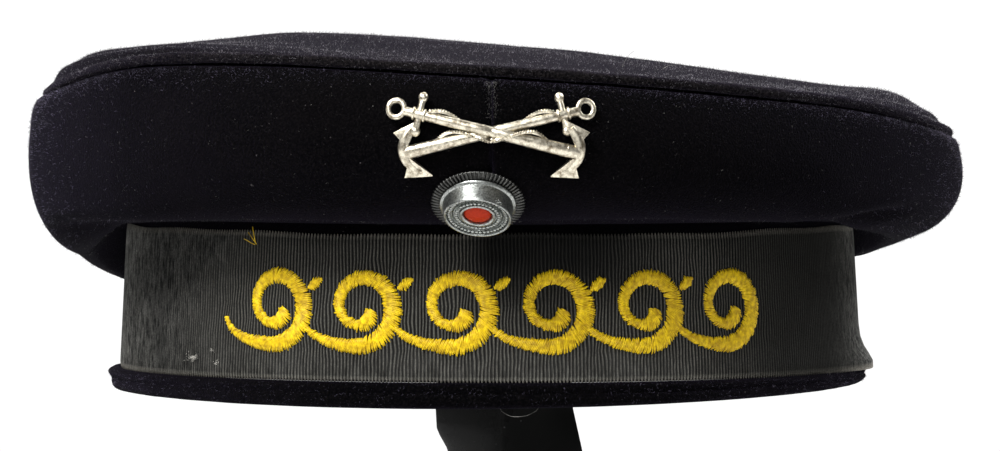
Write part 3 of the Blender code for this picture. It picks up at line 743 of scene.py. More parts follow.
def topPoint(turn, share):
    section = sectionAt(turn)
    inset = crownShape["weltRadius"] + 2 * crownShape["gap"]
    halfWidth = crownShape["halfWidth"] * section[..., 4] - inset
    halfDepth = crownShape["halfDepth"] * section[..., 4] - inset
    edgeHeight = section[..., 5] * crownShape["height"]
    edgeAcross = halfWidth * np.sin(np.radians(turn))
    sloped = crownShape["height"] + crownShape["tilt"] * edgeAcross - crownShape["dome"]
    height = (crownShape["height"] + crownShape["tilt"] * edgeAcross * share - crownShape["dome"] * share ** 2
              - (sloped - edgeHeight) * share ** section[..., 6])
    return ovalPoint(turn, halfWidth * share, halfDepth * share, height)


def dressedTop(turn, share):
    point = topPoint(turn, share)
    lift = topLook["slack"] * softNoise(point, topLook["slackSize"], 11) * (1 - smoothStep(share, 0.86, 1))
    lift += topLook["ripple"] * softNoise(point, topLook["rippleSize"], 12)
    lift += topLook["edgeRoll"] * (hump(share, 0.965, 0.02) - smoothStep(share, 0.985, 1))
    for side, rise, middle, width, power in topLook["swells"]:
        lift += rise * np.clip(side * np.sin(np.radians(turn)), 0, 1) ** power * hump(share, middle, width)
    point[..., 2] += lift
    return point


def makeCrownTop(material):
    def place(across, up):
        return dressedTop(360 * across, np.sin(np.clip(1 - up, 0, 1) * math.pi / 2))

    top = clothGrid("crownTopCloth", topLook["columns"], topLook["rings"], place, closeColumns=True)
    addWall(top, sideLook["wall"])
    finishPiece(top, material, ("crown_top",))


weltLook = {
    "columns": 480, "around": 12, "radius": 0.0013, "inset": 0.0009, "leftTuck": 0.0010, "rightTuck": 0.0001,
    "wobble": 0.00010,
}


def weltMiddle(turn):
    section = sectionAt(turn)
    across = np.sin(np.radians(turn))
    tuck = np.where(across < 0, weltLook["leftTuck"], weltLook["rightTuck"])
    inset = weltLook["inset"] + tuck * across ** 8
    return ovalPoint(turn, crownShape["halfWidth"] * section[..., 4] - inset,
                     crownShape["halfDepth"] * section[..., 4] - inset,
                     section[..., 5] * crownShape["height"] - 0.0001)


def makeWelt(material):
    def place(across, up):
        turn, swing = 360 * across, 2 * math.pi * up
        middle = weltMiddle(turn)
        radius = weltLook["radius"] + weltLook["wobble"] * softNoise(middle, 0.012, 21)
        return (middle + outwardAt(turn) * (radius * np.cos(swing))[..., None]
                + upward * (radius * np.sin(swing))[..., None])

    welt = clothGrid("weltCord", weltLook["columns"], weltLook["around"], place, closeColumns=True,
                     closeRows=True)
    finishPiece(welt, material, ("top_welt",))


hemLook = {
    "columns": 420, "around": 36, "frontDrop": 0.0006, "endLift": 0.0011, "wobble": 0.00016, "tilt": 0.0009,
    "leftCurl": 0.0011, "rightPinch": 0.0009,
    # out from the band and up from the rim, round the roll
    "outline": ((-0.0033, 0.0006), (-0.0010, 0.0000), (0.0008, 0.0000), (0.0020, 0.0008), (0.0024, 0.0018),
                (0.0021, 0.0027), (0.0018, 0.0031), (0.0020, 0.0036), (0.0024, 0.0044), (0.0019, 0.0052),
                (0.0010, 0.0056), (-0.0010, 0.0055), (-0.0030, 0.0053), (-0.0034, 0.0030)),
}


def hemPoint(turn, spot):  # spot 0 to 1 goes round the roll, from its inner lower corner outwards and up
    corner = ringCurve(hemLook["outline"], (spot % 1.0) * len(hemLook["outline"]))
    angle = np.radians(turn)
    low = 1 - smoothStep(corner[..., 1], 0.0, 0.0055)
    sag = (hemLook["endLift"] * np.sin(angle) ** 2 - hemLook["frontDrop"] * np.cos(angle) ** 2
           + hemLook["tilt"] * np.sin(angle))
    curl = (hemLook["leftCurl"] * np.clip(-np.sin(angle), 0, 1) ** 8
            * smoothStep(corner[..., 1], 0.0018, 0.0040)
            - hemLook["rightPinch"] * np.clip(np.sin(angle), 0, 1) ** 6)
    point = bandPoint(turn, corner[..., 1] + sag * low, corner[..., 0] + curl * (corner[..., 0] > 0))
    swell = hemLook["wobble"] * (softNoise(point, 0.014, 31) + 0.5 * softNoise(point, 0.004, 32))
    return point + outwardAt(turn) * (swell * (corner[..., 0] > 0))[..., None]


def makeHem(material):
    def place(across, up):
        return hemPoint(360 * across, up)

    hem = clothGrid("hemRoll", hemLook["columns"], hemLook["around"], place, closeColumns=True,
                    closeRows=True)
    finishPiece(hem, material, ("band_hem",))


def makeBand(material):
    foot = bandShape["hemHeight"] + 0.0003

    def place(across, up):
        height = foot + (bandShape["top"] - foot) * up
        tuck = bandShape["topTuck"] * smoothStep(up, 0.93, 1)
        return bandPoint(360 * across, height) - outwardAt(360 * across) * tuck[..., None]

    band = clothGrid("bandCloth", bandShape["columns"], bandShape["rows"], place, closeColumns=True)
    addWall(band, bandShape["wall"])
    finishPiece(band, material, ("band",))


ribbonShape = {
    "ribs": 652, "cellsPerRib": 6, "ribDepth": 0.00038, "jitter": 0.00024, "picot": 0.00080,
    "faceShares": (0, 0.025, 0.07, 0.13, 0.20, 0.29, 0.40, 0.51, 0.62, 0.73, 0.84, 0.93, 0.975, 1),
    "backShares": (1, 0.45, 0.22, 0.11, 0.04, 0), "foot": 0.0063, "height": 0.0352, "thick": 0.0006,
    "topDip": 0.0003, "flare": 0.0031, "flareTurns": (62, 84, 104, 124), "flareShare": 0.13,
    "lap": 0.0007, "lapTurns": (170, 176, 180, 180.4), "edgeDrop": 0.00022,
}


def ribbonPoint(turn, share, out=0.0):  # share 0 is the ribbon's lower edge, 1 its upper one
    angle = np.radians(turn)
    height = ribbonShape["foot"] + ribbonShape["height"] * share
    wave = 0.00022 * np.sin(7 * angle + 1) + 0.00016 * np.sin(17 * angle)
    flare = ribbonShape["flare"] * smoothWindow((turn + 180) % 360 - 180, ribbonShape["flareTurns"])
    slack = (0.00010 * (1 + np.sin(5 * angle + 2 * share)) + flare * hump(share, 0, ribbonShape["flareShare"])
             + ribbonShape["lap"] * smoothWindow(turn % 360, ribbonShape["lapTurns"]))
    dip = ribbonShape["topDip"] * np.cos(angle) ** 2 * smoothStep(share, 0.5, 1)
    return bandPoint(turn, height + wave * share - dip, ribbonShape["thick"] + slack + out)


def ribbonEdge(share):  # 1 at both edges of the ribbon, 0 between them
    return np.maximum(smoothStep(share, 0.97, 1), 1 - smoothStep(share, 0, 0.03))


def makeRibbon(material):
    ribs, cells = ribbonShape["ribs"], ribbonShape["cellsPerRib"]
    shares = np.array(ribbonShape["faceShares"] + ribbonShape["backShares"], float)

    def place(across, up):
        line = np.round(up * len(shares)).astype(int) % len(shares)
        phase = (across * ribs) % 1.0
        rise = (0.5 - 0.5 * np.cos(2 * math.pi * phase)) ** 0.8
        share, onFace = shares[line], line < len(ribbonShape["faceShares"])
        turn = 360 * across
        still = np.minimum(share, 1 - share) * 4
        wander = ribbonShape["jitter"] * np.clip(still, 0, 1) * (
            softNoise(ribbonPoint(turn, share), 0.007, 41)
            + 0.6 * softNoise(ribbonPoint(turn, share), 0.026, 42))
        turn = turn + np.degrees(wander / bandShape["halfWidth"])
        out = np.where(onFace, ribbonShape["ribDepth"] * (rise - 1), -ribbonShape["thick"] * 0.8)
        out = out - ribbonShape["edgeDrop"] * ribbonEdge(share) * onFace
        picot = ribbonShape["picot"] * rise * np.where(share >= 1, 1.0, np.where(share <= 0, -1.0, 0.0))
        return ribbonPoint(turn, share + picot / ribbonShape["height"], out)

    ribbon = clothGrid("tallyRibbonCloth", ribs * cells, len(shares), place, closeColumns=True,
                       closeRows=True)
    addRibbonAttributes(ribbon, getPoints(ribbon))
    finishPiece(ribbon, material, ("tally_ribbon",))


# turn and value: dust with painted rim light at both ends of the ribbon, the threads' tone with painted shade
# and rim light, and how clear the ribs' painted groove shade is
ribbonDustAndRimLight = ((-180, 0.15), (-130, 0.15), (-88, 0.85), (-74, 0.50), (-60, 0.30), (-42, 0.05), (20, 0.05),
              (46, 0.0), (60, 0.02), (74, 0.30), (90, 0.95), (120, 0.15), (180, 0.15))
ribbonToneShadeAndLight = ((-180, 0.60), (-120, 0.65), (-88, 1.25), (-78, 0.84), (-62, 0.52), (-48, 0.66), (-34, 0.88),
              (-10, 0.93), (30, 1.0), (42, 0.74), (52, 0.52), (66, 0.56), (80, 1.25), (92, 1.25), (120, 0.65),
              (180, 0.60))
ribClearness = ((-180, 0.9), (-90, 0.25), (-62, 0.45), (-46, 0.90), (-30, 1.0), (34, 1.0), (47, 0.45),
                (60, 0.15), (90, 0.15), (120, 0.9), (180, 0.9))


def addRibbonAttributes(ribbon, points):
    turn = np.degrees(np.arctan2(points[:, 0] / bandShape["halfWidth"],
                                 -points[:, 1] / bandShape["halfDepth"]))
    height = points[:, 2] - rimLift
    share = (height - ribbonShape["foot"]) / ribbonShape["height"]
    smooth = ribbonPoint(turn, share)
    depth = np.linalg.norm(points[:, :2], axis=1) - np.linalg.norm(smooth[:, :2], axis=1)
    rise = np.clip(1 + depth / ribbonShape["ribDepth"], 0, 1)
    edge = ribbonEdge(share)
    rise = np.clip(rise + 0.5 * edge, 0, 1.6)
    # the fade: dust, with painted rim light at both ends of the ribbon; then paler towards the lower edge at
    # the front, and paler on the upper left part
    fade = np.interp(turn, *zip(*ribbonDustAndRimLight))
    fade += 0.16 * (1 - smoothStep(share, 0.0, 0.30)) * smoothWindow(turn, (-60, -40, 40, 75))
    fade += 0.34 * smoothStep(share, 0.55, 0.95) * smoothWindow(turn, (-90, -78, -60, -32))
    picot = 0.8 * np.clip(rise, 0, 1) ** 2 * np.maximum(
        smoothStep(share, 0.985, 1.005), 1 - smoothStep(share, -0.005, 0.015))
    clear = np.interp(turn, *zip(*ribClearness))
    # the tone: the threads' own tone, with painted shade where the ribbon turns away from the key lamp and
    # painted rim light at its two ends; a little darker towards the upper edge
    tone = np.interp(turn, *zip(*ribbonToneShadeAndLight)) * (1 - 0.04 * smoothStep(share, 0.45, 0.9) * (1 - edge))
    # the cockade's shade
    tone *= 1 - 0.88 * smoothWindow(turn, (-5, 0, 12, 34)) * smoothStep(share, 0.35, 0.85)
    ribHeight = rise * clear + 0.5 * (1 - clear)
    for name, values in (("ribHeight", ribHeight), ("fade", fade), ("tone", tone), ("picot", picot)):
        layer = ribbon.data.attributes.new(name, "FLOAT", "POINT")
        layer.data.foreach_set("value", values.astype(np.float32))


# a running wave in satin stitch
waveLook = {
    "waves": 6, "period": 0.0242, "middle": 0.0230, "shift": 0.0030, "curlStart": 0.0098, "curlLoss": 0.66,
    "turnFrom": -90, "turnTo": 345, "stroke": 0.0049, "pitch": 0.00040, "slant": 20, "pillow": 0.00055,
    "strandWidth": 0.00054, "strandHeight": 0.00030, "ragged": 0.00020, "faceRadius": 0.0954,
    "leafStitches": 11, "leafHalf": 0.0021, "leafWidth": 0.0028, "leafAt": (-0.0125, 0.0068),
    "endThick": 0.00011,
    # how wide the stroke is along its run
    "widths": ((0, 0.25), (0.10, 0.45), (0.28, 0.85), (0.46, 1.0), (0.70, 0.70), (0.90, 0.50), (0.95, 0.90),
               (0.985, 0.85), (1, 0.35)),
}

# loose ends of thread at the ribbon's upper edge: turn, share of its height and distance out
threadEnds = (
    ((-38.3, 0.92, 0.0002), (-38.7, 0.95, 0.0008), (-39.1, 0.98, 0.0012), (-39.8, 1.01, 0.0010)),
    ((-38.5, 0.92, 0.0002), (-38.5, 0.97, 0.0010), (-38.6, 1.01, 0.0012), (-39.0, 1.05, 0.0009)),
    ((-38.7, 0.92, 0.0002), (-39.2, 0.93, 0.0007), (-40.0, 0.95, 0.0009), (-40.7, 0.96, 0.0008)),
)


def curlPoint(turn):
    angle = np.radians(turn)
    share = (turn - waveLook["turnFrom"]) / (waveLook["turnTo"] - waveLook["turnFrom"])
    reach = waveLook["curlStart"] * (1 - waveLook["curlLoss"] * share)
    return np.stack((reach * np.cos(angle), reach * np.sin(angle) + 0.0012), axis=-1)


def waveStroke():  # the middle line of one wave, its tail and then its curl, and the distance run along it
    foot, flank = curlPoint(np.array(-90.0)), curlPoint(np.array(-22.0)) - (waveLook["period"], 0)
    share = np.linspace(0, 1, 60)[:, None]
    bends = (flank, flank + (0.0014, -0.0044), foot + (-0.0075, 0.0002), foot)
    tail = ((1 - share) ** 3 * bends[0] + 3 * (1 - share) ** 2 * share * bends[1]
            + 3 * (1 - share) * share ** 2 * bends[2] + share ** 3 * bends[3])
    curl = curlPoint(np.linspace(waveLook["turnFrom"], waveLook["turnTo"], 260))
    line = np.concatenate((tail[:-1], curl))
    run = np.concatenate(((0,), np.cumsum(np.linalg.norm(np.diff(line, axis=0), axis=1))))
    return line, run


def waveStitches():  # each stitch: its middle, its direction on the ribbon and its length
    dice = np.random.default_rng(61)
    line, run = waveStroke()
    spots = np.arange(0.0003, run[-1], waveLook["pitch"])
    middle = np.stack([np.interp(spots, run, line[:, axis]) for axis in (0, 1)], axis=-1)
    ahead = unit(np.gradient(middle, axis=0))
    share = spots / run[-1]
    width = waveLook["stroke"] * np.interp(share, *zip(*waveLook["widths"]))
    rows = []
    for wave in range(waveLook["waves"]):
        offset = ((wave - (waveLook["waves"] - 1) / 2) * waveLook["period"] + waveLook["shift"],
                  waveLook["middle"])
        rows.append(stitchRows(dice, middle + offset, ahead, width))
        if wave:  # a small leaf between two waves
            count = waveLook["leafStitches"]
            along = np.linspace(-waveLook["leafHalf"], waveLook["leafHalf"], count)
            leaf = np.stack((along * 0.86, along * 0.5), axis=-1) + offset + waveLook["leafAt"]
            swell = waveLook["leafWidth"] * np.cos(np.linspace(-1.25, 1.25, count))
            rows.append(stitchRows(dice, leaf, np.tile((0.86, 0.5), (count, 1)), swell))
    return [np.concatenate(column) for column in zip(*rows)]


def stitchRows(dice, middle, ahead, width):
    count = len(middle)
    slant = np.radians(waveLook["slant"] + dice.normal(0, 3.5, count))
    normal = np.stack((-ahead[:, 1], ahead[:, 0]), axis=-1)
    direction = normal * np.cos(slant)[:, None] + ahead * np.sin(slant)[:, None]
    length = width / np.cos(slant) + dice.normal(0, waveLook["ragged"], count)
    middle = middle + direction * dice.normal(0, waveLook["ragged"] / 2, count)[:, None]
    return middle, direction, np.maximum(length, 0.0009)


def makeEmbroidery(material):
    model = settle(addShape(
        bpy.ops.mesh.primitive_cylinder_add, vertices=6, radius=1, depth=1, rotation=(0, math.pi / 2, 0)))
    cutAlong(model, 0, -0.5, 0.5, 7)
    local = getPoints(model)
    middle, direction, length = waveStitches()
    normal = np.stack((-direction[:, 1], direction[:, 0]), axis=-1)
    swell = np.sqrt(np.clip(1 - (2 * local[:, 0]) ** 2, 0, 1))
    dice = np.random.default_rng(62)
    fat = dice.uniform(0.85, 1.15, len(middle))
    flat = (middle[:, None, :] + direction[:, None, :] * local[:, 0][None, :, None] * length[:, None, None]
            + normal[:, None, :] * (local[:, 1] * (0.55 + 0.45 * swell))[None, :, None]
            * (fat * waveLook["strandWidth"] / 2)[:, None, None])
    lift = (-0.00012 + waveLook["pillow"] * (swell ** 0.8)[None, :]
            * np.clip(length / 0.0030, 0.5, 1)[:, None]
            + local[:, 2][None, :] * waveLook["strandHeight"] * (0.5 + 0.5 * swell)[None, :]
            + dice.normal(0, 0.00004, len(middle))[:, None])
    turn = np.degrees(flat[..., 0] / waveLook["faceRadius"])
    share = (flat[..., 1] - ribbonShape["foot"]) / ribbonShape["height"]
    stitches = repeatModel("waveEmbroidery", model, ribbonPoint(turn, share, lift))
    ends = []
    for number, corners in enumerate(threadEnds):
        ends.append(thinHair("threadEnd" + str(number), ribbonPoint(*np.array(corners).T), 16,
                             waveLook["endThick"]))
    finishPiece(joinPieces([stitches, *ends], "waveEmbroidery"), material)


def smoothLine(corners, count):
    corners = np.asarray(corners)
    spots = np.linspace(0, len(corners) - 1, count)
    points = np.stack([np.interp(spots, range(len(corners)), corners[:, axis]) for axis in range(3)], axis=-1)
    for _ in range(3):
        points[1:-1] = (points[:-2] + points[1:-1] * 2 + points[2:]) / 4
    return points


def closedEnds(radius, count):  # one radius all along, and 0 at both ends
    radii = np.full(count, radius)
    radii[0] = radii[-1] = 0
    return radii


def thinHair(name, corners, count, radius):
    return tubeAlong(name, smoothLine(corners, count), closedEnds(radius, count), 5)


# two crossed anchors
anchorLook = {
    "length": 0.0430, "lean": 13.0, "shankFoot": 0.00155, "shankHead": 0.00105, "armRadius": 0.0058,
    "armSwing": 66.0, "flukeWidth": 0.0046, "flukeLength": 0.0052, "stockLength": 0.0078,
    "stockInset": 0.0038, "ringRadius": 0.0019, "ringThick": 0.0013, "depth": 0.0022,
    "crossingLift": 0.0007, "level": 0.764, "gap": 0.0003, "flatten": 0.85, "collarRadius": 0.00125,
    "collarThick": 0.00032, "stockRadius": 0.00080, "knobRadius": 0.00120, "collarsAt": (0.0013, -0.0013),
    "footCollarAt": 0.0030, "flukeTip": 0.0002, "flukeNotch": 0.0011, "flukeEdge": 0.0003,
    "ropeFrom": 0.0062, "ropeShorter": 0.0105, "ropeGirth": 0.00185, "ropeWider": 0.0005,
    "ropeFlat": 0.72, "ropeStart": 0.6, "ropeSteps": 170, "ropeTurns": 1.5, "ropeTwists": 26,
    "ropeThick": 0.00030, "ropePitch": 0.00026, "armThin": 0.00070, "armSwell": 0.00075,
}


def makeAnchorModel():
    look, parts = anchorLook, []
    half, upright = look["length"] / 2, (0, math.pi / 2, 0)

    def add(operator, **settings):
        parts.append(settle(addShape(operator, **settings)))

    add(bpy.ops.mesh.primitive_cone_add, vertices=16, radius1=look["shankFoot"], radius2=look["shankHead"],
        depth=look["length"], rotation=upright)
    cutAlong(parts[-1], 0, -half, half, 22)
    stockAt = half - look["stockInset"]
    for place in (*(stockAt + off for off in look["collarsAt"]), -half + look["footCollarAt"]):
        add(bpy.ops.mesh.primitive_torus_add, location=(place, 0, 0), rotation=upright, major_segments=24,
            minor_segments=8, major_radius=look["collarRadius"], minor_radius=look["collarThick"])
    add(bpy.ops.mesh.primitive_cylinder_add, vertices=14, radius=look["stockRadius"],
        depth=look["stockLength"], location=(stockAt, 0, 0))
    cutAlong(parts[-1], 2, -look["stockLength"] / 2, look["stockLength"] / 2, 6)
    for side in (-1, 1):
        add(bpy.ops.mesh.primitive_uv_sphere_add, segments=16, ring_count=10, radius=look["knobRadius"],
            location=(stockAt, 0, side * look["stockLength"] / 2))
    add(bpy.ops.mesh.primitive_torus_add, location=(half + look["ringRadius"], 0, 0),
        rotation=(math.pi / 2, 0, 0), major_segments=36, minor_segments=10,
        major_radius=look["ringRadius"], minor_radius=look["ringThick"] / 2)
    swings = np.radians(np.linspace(-look["armSwing"], look["armSwing"], 33))
    armLine = np.stack((-half + look["armRadius"] * (1 - np.cos(swings)), 0 * swings,
                        look["armRadius"] * np.sin(swings)), axis=-1)
    thick = look["armThin"] + look["armSwell"] * np.cos(swings * 1.2) ** 2
    thick[0] = thick[-1] = 0
    parts.append(tubeAlong("anchorArms", armLine, thick, 12))
    parts += [makeFluke(side, armLine) for side in (-1, 1)]
    run = np.linspace(0, 1, look["ropeSteps"])
    reach = half - look["ropeFrom"] - run * (2 * half - look["ropeShorter"])
    swing = 2 * math.pi * look["ropeTurns"] * run + look["ropeStart"]
    girth = look["ropeGirth"] + look["ropeWider"] * run
    rope = np.stack((reach, -girth * look["ropeFlat"] * np.cos(swing), girth * np.sin(swing)), axis=-1)
    for strand in (0, math.pi):
        twist = 2 * math.pi * look["ropeTwists"] * run + strand
        away = np.stack((0 * run, -np.cos(swing), np.sin(swing)), axis=-1)
        line = rope + look["ropePitch"] * (
            away * np.cos(twist)[:, None] + np.array((1.0, 0, 0)) * np.sin(twist)[:, None])
        parts.append(tubeAlong("anchorRope", line, closedEnds(look["ropeThick"], len(run)), 6))
    model = joinPieces(parts, "anchorModel")
    setPoints(model, getPoints(model) * (1, look["flatten"], 1))
    return model


def makeFluke(side, armLine):  # a pointed palm at one end of the arms, with a raised middle
    look = anchorLook
    fluke = settle(addShape(
        bpy.ops.mesh.primitive_cone_add, vertices=4, radius1=look["flukeWidth"] / 1.414,
        radius2=look["flukeTip"], depth=look["flukeLength"], rotation=(0, 0, math.pi / 4)))
    points = getPoints(fluke)
    points[:, 1] *= look["depth"] / look["flukeWidth"]
    notch = look["flukeNotch"] * np.abs(points[:, 0]) / (look["flukeWidth"] / 2)
    points[:, 2] -= np.where(points[:, 2] < 0, notch, 0)
    setPoints(fluke, points)
    editAll(fluke)
    bpy.ops.mesh.subdivide(number_cuts=2)
    bpy.ops.object.mode_set(mode="OBJECT")
    soft = fluke.modifiers.new("soft", "BEVEL")
    soft.width, soft.segments, soft.limit_method = look["flukeEdge"], 3, "ANGLE"
    applyAll(fluke)
    swing = math.radians(look["armSwing"] - 8)
    lean = swing if side > 0 else math.pi - swing
    end = Vector(armLine[-2] if side > 0 else armLine[1])
    fluke.data.transform(Matrix.Translation(end) @ Matrix.Rotation(lean, 4, "Y"))
    closeShape(fluke, 35)
    return fluke


def makeBadge(material):
    look = anchorLook
    first = makeAnchorModel()
    second = first.copy()
    second.data = first.data.copy()
    bpy.context.scene.collection.objects.link(second)
    lean = math.radians(look["lean"])
    for anchor, mirror in ((first, 1), (second, -1)):
        flat = getPoints(anchor)
        across = (flat[:, 0] * math.cos(lean) - flat[:, 2] * math.sin(lean)) * mirror
        height = flat[:, 0] * math.sin(lean) + flat[:, 2] * math.cos(lean)
        out = -flat[:, 1] + look["depth"] / 2 + look["gap"] + (look["crossingLift"] if mirror < 0 else 0)
        setPoints(anchor, facePoint(across, look["level"] * crownShape["height"] + height, out))
        closeShape(anchor, 35)
    finishPiece(joinPieces([first, second], "crossedAnchors"), material, ("anchor_badge",))


cockadeLook = {
    "across": -0.0035, "level": 0.567, "plateRadius": 0.0112, "plateThick": 0.0014, "ribs": 66,
    "cupRadius": 0.0089, "cupDepth": 0.0042, "gap": 0.0003, "domeRadius": 0.0034,
    "beadRings": ((0.0070, 46), (0.0052, 34)), "bead": 0.00046, "faceTilt": 0.34, "faceTurn": -28,
    "ribHalf": (0.15, 0.00036, 0.00062), "domeWobble": 0.00006,
    # the plate's outline and the dome's: radius as a share, then height as a share or in metres
    "plate": ((0, 0), (0.94, 0), (0.97, 0.2), (0.96, 0.35), (0.84, 0.5), (0.76, 1), (0, 1)),
    "dome": ((0, 0), (1, 0), (1, 0.0024), (0.95, 0.0028), (0.82, 0.0032), (0.6, 0.0036), (0.3, 0.0039),
             (0, 0.0040)),
    # the cup's outline: radius and height as shares
    "cup": ((0.385, 0.0), (0.385, 0.70), (0.405, 0.82), (0.44, 0.87), (0.49, 0.84), (0.51, 0.73),
            (0.66, 0.73), (0.685, 0.84), (0.71, 0.73), (0.84, 0.73), (0.85, 0.88), (0.86, 0.95),
            (0.885, 0.985), (0.91, 0.97), (0.925, 0.92), (0.93, 0.84), (0.955, 0.45), (0.975, 0.14),
            (1.03, 0.06), (1.04, 0.0)),
}


def cockadeMatrix():  # Z out from the crown, the origin on the seat of the CAD's plate
    turn, row = facePlace(np.array(cockadeLook["across"]),
                          np.array(cockadeLook["level"] * crownShape["height"]))
    foot, outward = Vector(sidePoint(turn, row)), Vector(sideNormal(turn, row))
    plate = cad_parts["cockade_plate"]
    seat = min((plate.matrix_world @ vertex.co - foot).dot(outward) for vertex in plate.data.vertices)
    return Matrix.Translation(foot + outward * seat) @ outward.to_track_quat("Z", "Y").to_matrix().to_4x4()


def tiltFace(obj):  # the cup is taller at its upper right, so its face looks down and a little left
    points, swing = getPoints(obj), math.radians(cockadeLook["faceTurn"])
    uphill = points[:, 1] * math.cos(swing) - points[:, 0] * math.sin(swing)
    points[:, 2] *= 1 + cockadeLook["faceTilt"] * uphill / cockadeLook["cupRadius"]
    setPoints(obj, points)


def placesRound(count, reach, beside, height):  # spreads the points of one model evenly round Z
    swing = (2 * math.pi * np.arange(count) / count)[:, None]
    return np.stack((np.cos(swing) * reach - np.sin(swing) * beside,
                     np.sin(swing) * reach + np.cos(swing) * beside,
                     height + 0 * swing), axis=-1)


def makeCockade(plateMetal, cupMetal, enamel):
    look, seat = cockadeLook, cockadeMatrix()
    thick, radius = look["plateThick"], look["plateRadius"]
    above = seat @ Matrix.Translation((0, 0, thick + look["gap"]))
    plate = turnedPiece("cockadePlateDisc", [(out * radius, up * thick) for out, up in look["plate"]], 132)
    rib = addShape(bpy.ops.mesh.primitive_uv_sphere_add, segments=8, ring_count=6, radius=1)
    local, (reach, beside, height) = getPoints(rib), look["ribHalf"]
    ribs = repeatModel("cockadeRibs", rib, placesRound(
        look["ribs"], radius * (0.88 + reach * local[:, 0]), beside * local[:, 1],
        thick * 0.66 + height * local[:, 2] - 0.0002 * (local[:, 0] > 0)))
    plate = joinPieces([plate, ribs], "cockadePlateRibbed")
    plate.data.transform(seat)
    finishPiece(plate, plateMetal, ("cockade_plate",))
    outline = [(out * look["cupRadius"], up * look["cupDepth"]) for out, up in look["cup"]]
    pieces = [turnedPiece("cockadeCupTurned", outline, 120)]
    for ringRadius, count in look["beadRings"]:
        bead = addShape(bpy.ops.mesh.primitive_ico_sphere_add, subdivisions=2, radius=look["bead"])
        middles = placesRound(count, ringRadius, 0, 0.78 * look["cupDepth"])
        pieces.append(repeatModel("cockadeBeads", bead, middles + getPoints(bead)))
    cup = joinPieces(pieces, "cockadeCupBeaded")
    outline = [(out * look["domeRadius"], up) for out, up in look["dome"]]
    centre = turnedPiece("cockadeCentreDome", outline, 48)
    points = getPoints(centre)
    points[:, 2] += look["domeWobble"] * softNoise(points, 0.0012, 71) * (points[:, 2] > 0.003)
    setPoints(centre, points)
    for piece, material, slot, node in ((cup, cupMetal, "dull_zinc", "cockade_cup"),
                                        (centre, enamel, "red_enamel", "cockade_centre")):
        tiltFace(piece)
        piece.data.transform(above)
        finishPiece(piece, material, (node,))


standLook = {
    "postDepth": 0.030, "corner": 1.12, "partingRidge": 0.00035, "columns": 160, "levels": 90,
    # height from the rim as a share of its lift, then left, ridge and right as shares of the post's depth
    "post": ((-0.8856, -0.60, 0.10, 0.98), (-0.45, -0.36, 0.09, 0.86), (-0.18, -0.37, 0.08, 0.77),
             (-0.12, -0.47, 0.08, 0.73), (-0.06, -0.48, 0.08, 0.69), (0.70, -0.42, 0.08, 0.60)),
    "base": ((0, 0), (0.0735, 0), (0.0746, 0.0006), (0.0750, 0.0018), (0.0750, 0.0072), (0.0745, 0.0088),
             (0.0732, 0.0097), (0.0715, 0.0100), (0.0660, 0.0100), (0.0652, 0.0096), (0.0648, 0.0088),
             (0.0640, 0.0085), (0.0420, 0.0085), (0.0412, 0.0088), (0.0408, 0.0096), (0.0400, 0.0100),
             (0, 0.0100)),
}


def makeStand(material):
    base = turnedPiece("standBaseMoulded", standLook["base"], 144, 35)
    finishPiece(base, material, ("stand_base",))
    rows, depth = np.array(standLook["post"]), standLook["postDepth"]
    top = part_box("stand_post")[1][2] - rimLift

    def place(across, up):
        level = rows[0, 0] + (top / rimLift - rows[0, 0]) * up
        left, ridge, right = (np.interp(level, rows[:, 0], rows[:, column]) for column in (1, 2, 3))
        swing = 2 * math.pi * across
        cosine, sine = np.cos(swing), np.sin(swing)
        side = np.where(cosine > 0, right - ridge, ridge - left)
        power = standLook["corner"]
        reach = (np.abs(cosine / side) ** power + np.abs(sine / 0.5) ** power) ** (-1 / power)
        reach *= 1 - 0.6 * (smoothStep(up, 0.9999, 1) + smoothStep(-up, -0.0001, 0))
        front = np.abs((across % 1) - 0.75) * 2 * math.pi
        parting = standLook["partingRidge"] * hump(front, 0, 0.03) / depth
        return np.stack((depth * (ridge + reach * cosine), depth * sine * (reach + parting),
                         rimLift * (1 + level)), axis=-1)

    post = clothGrid("standPostMoulded", standLook["columns"], standLook["levels"], place, closeColumns=True)
    editAll(post)
    bpy.ops.mesh.select_all(action="DESELECT")
    bpy.ops.mesh.select_mode(type="EDGE")
    bpy.ops.mesh.select_non_manifold()
    bpy.ops.mesh.edge_face_add()
    bpy.ops.object.mode_set(mode="OBJECT")
    closeShape(post, 30)
    finishPiece(post, material, ("stand_post",))
    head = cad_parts["stand_head"]
    head.data.materials.clear()
    head.data.materials.append(material)


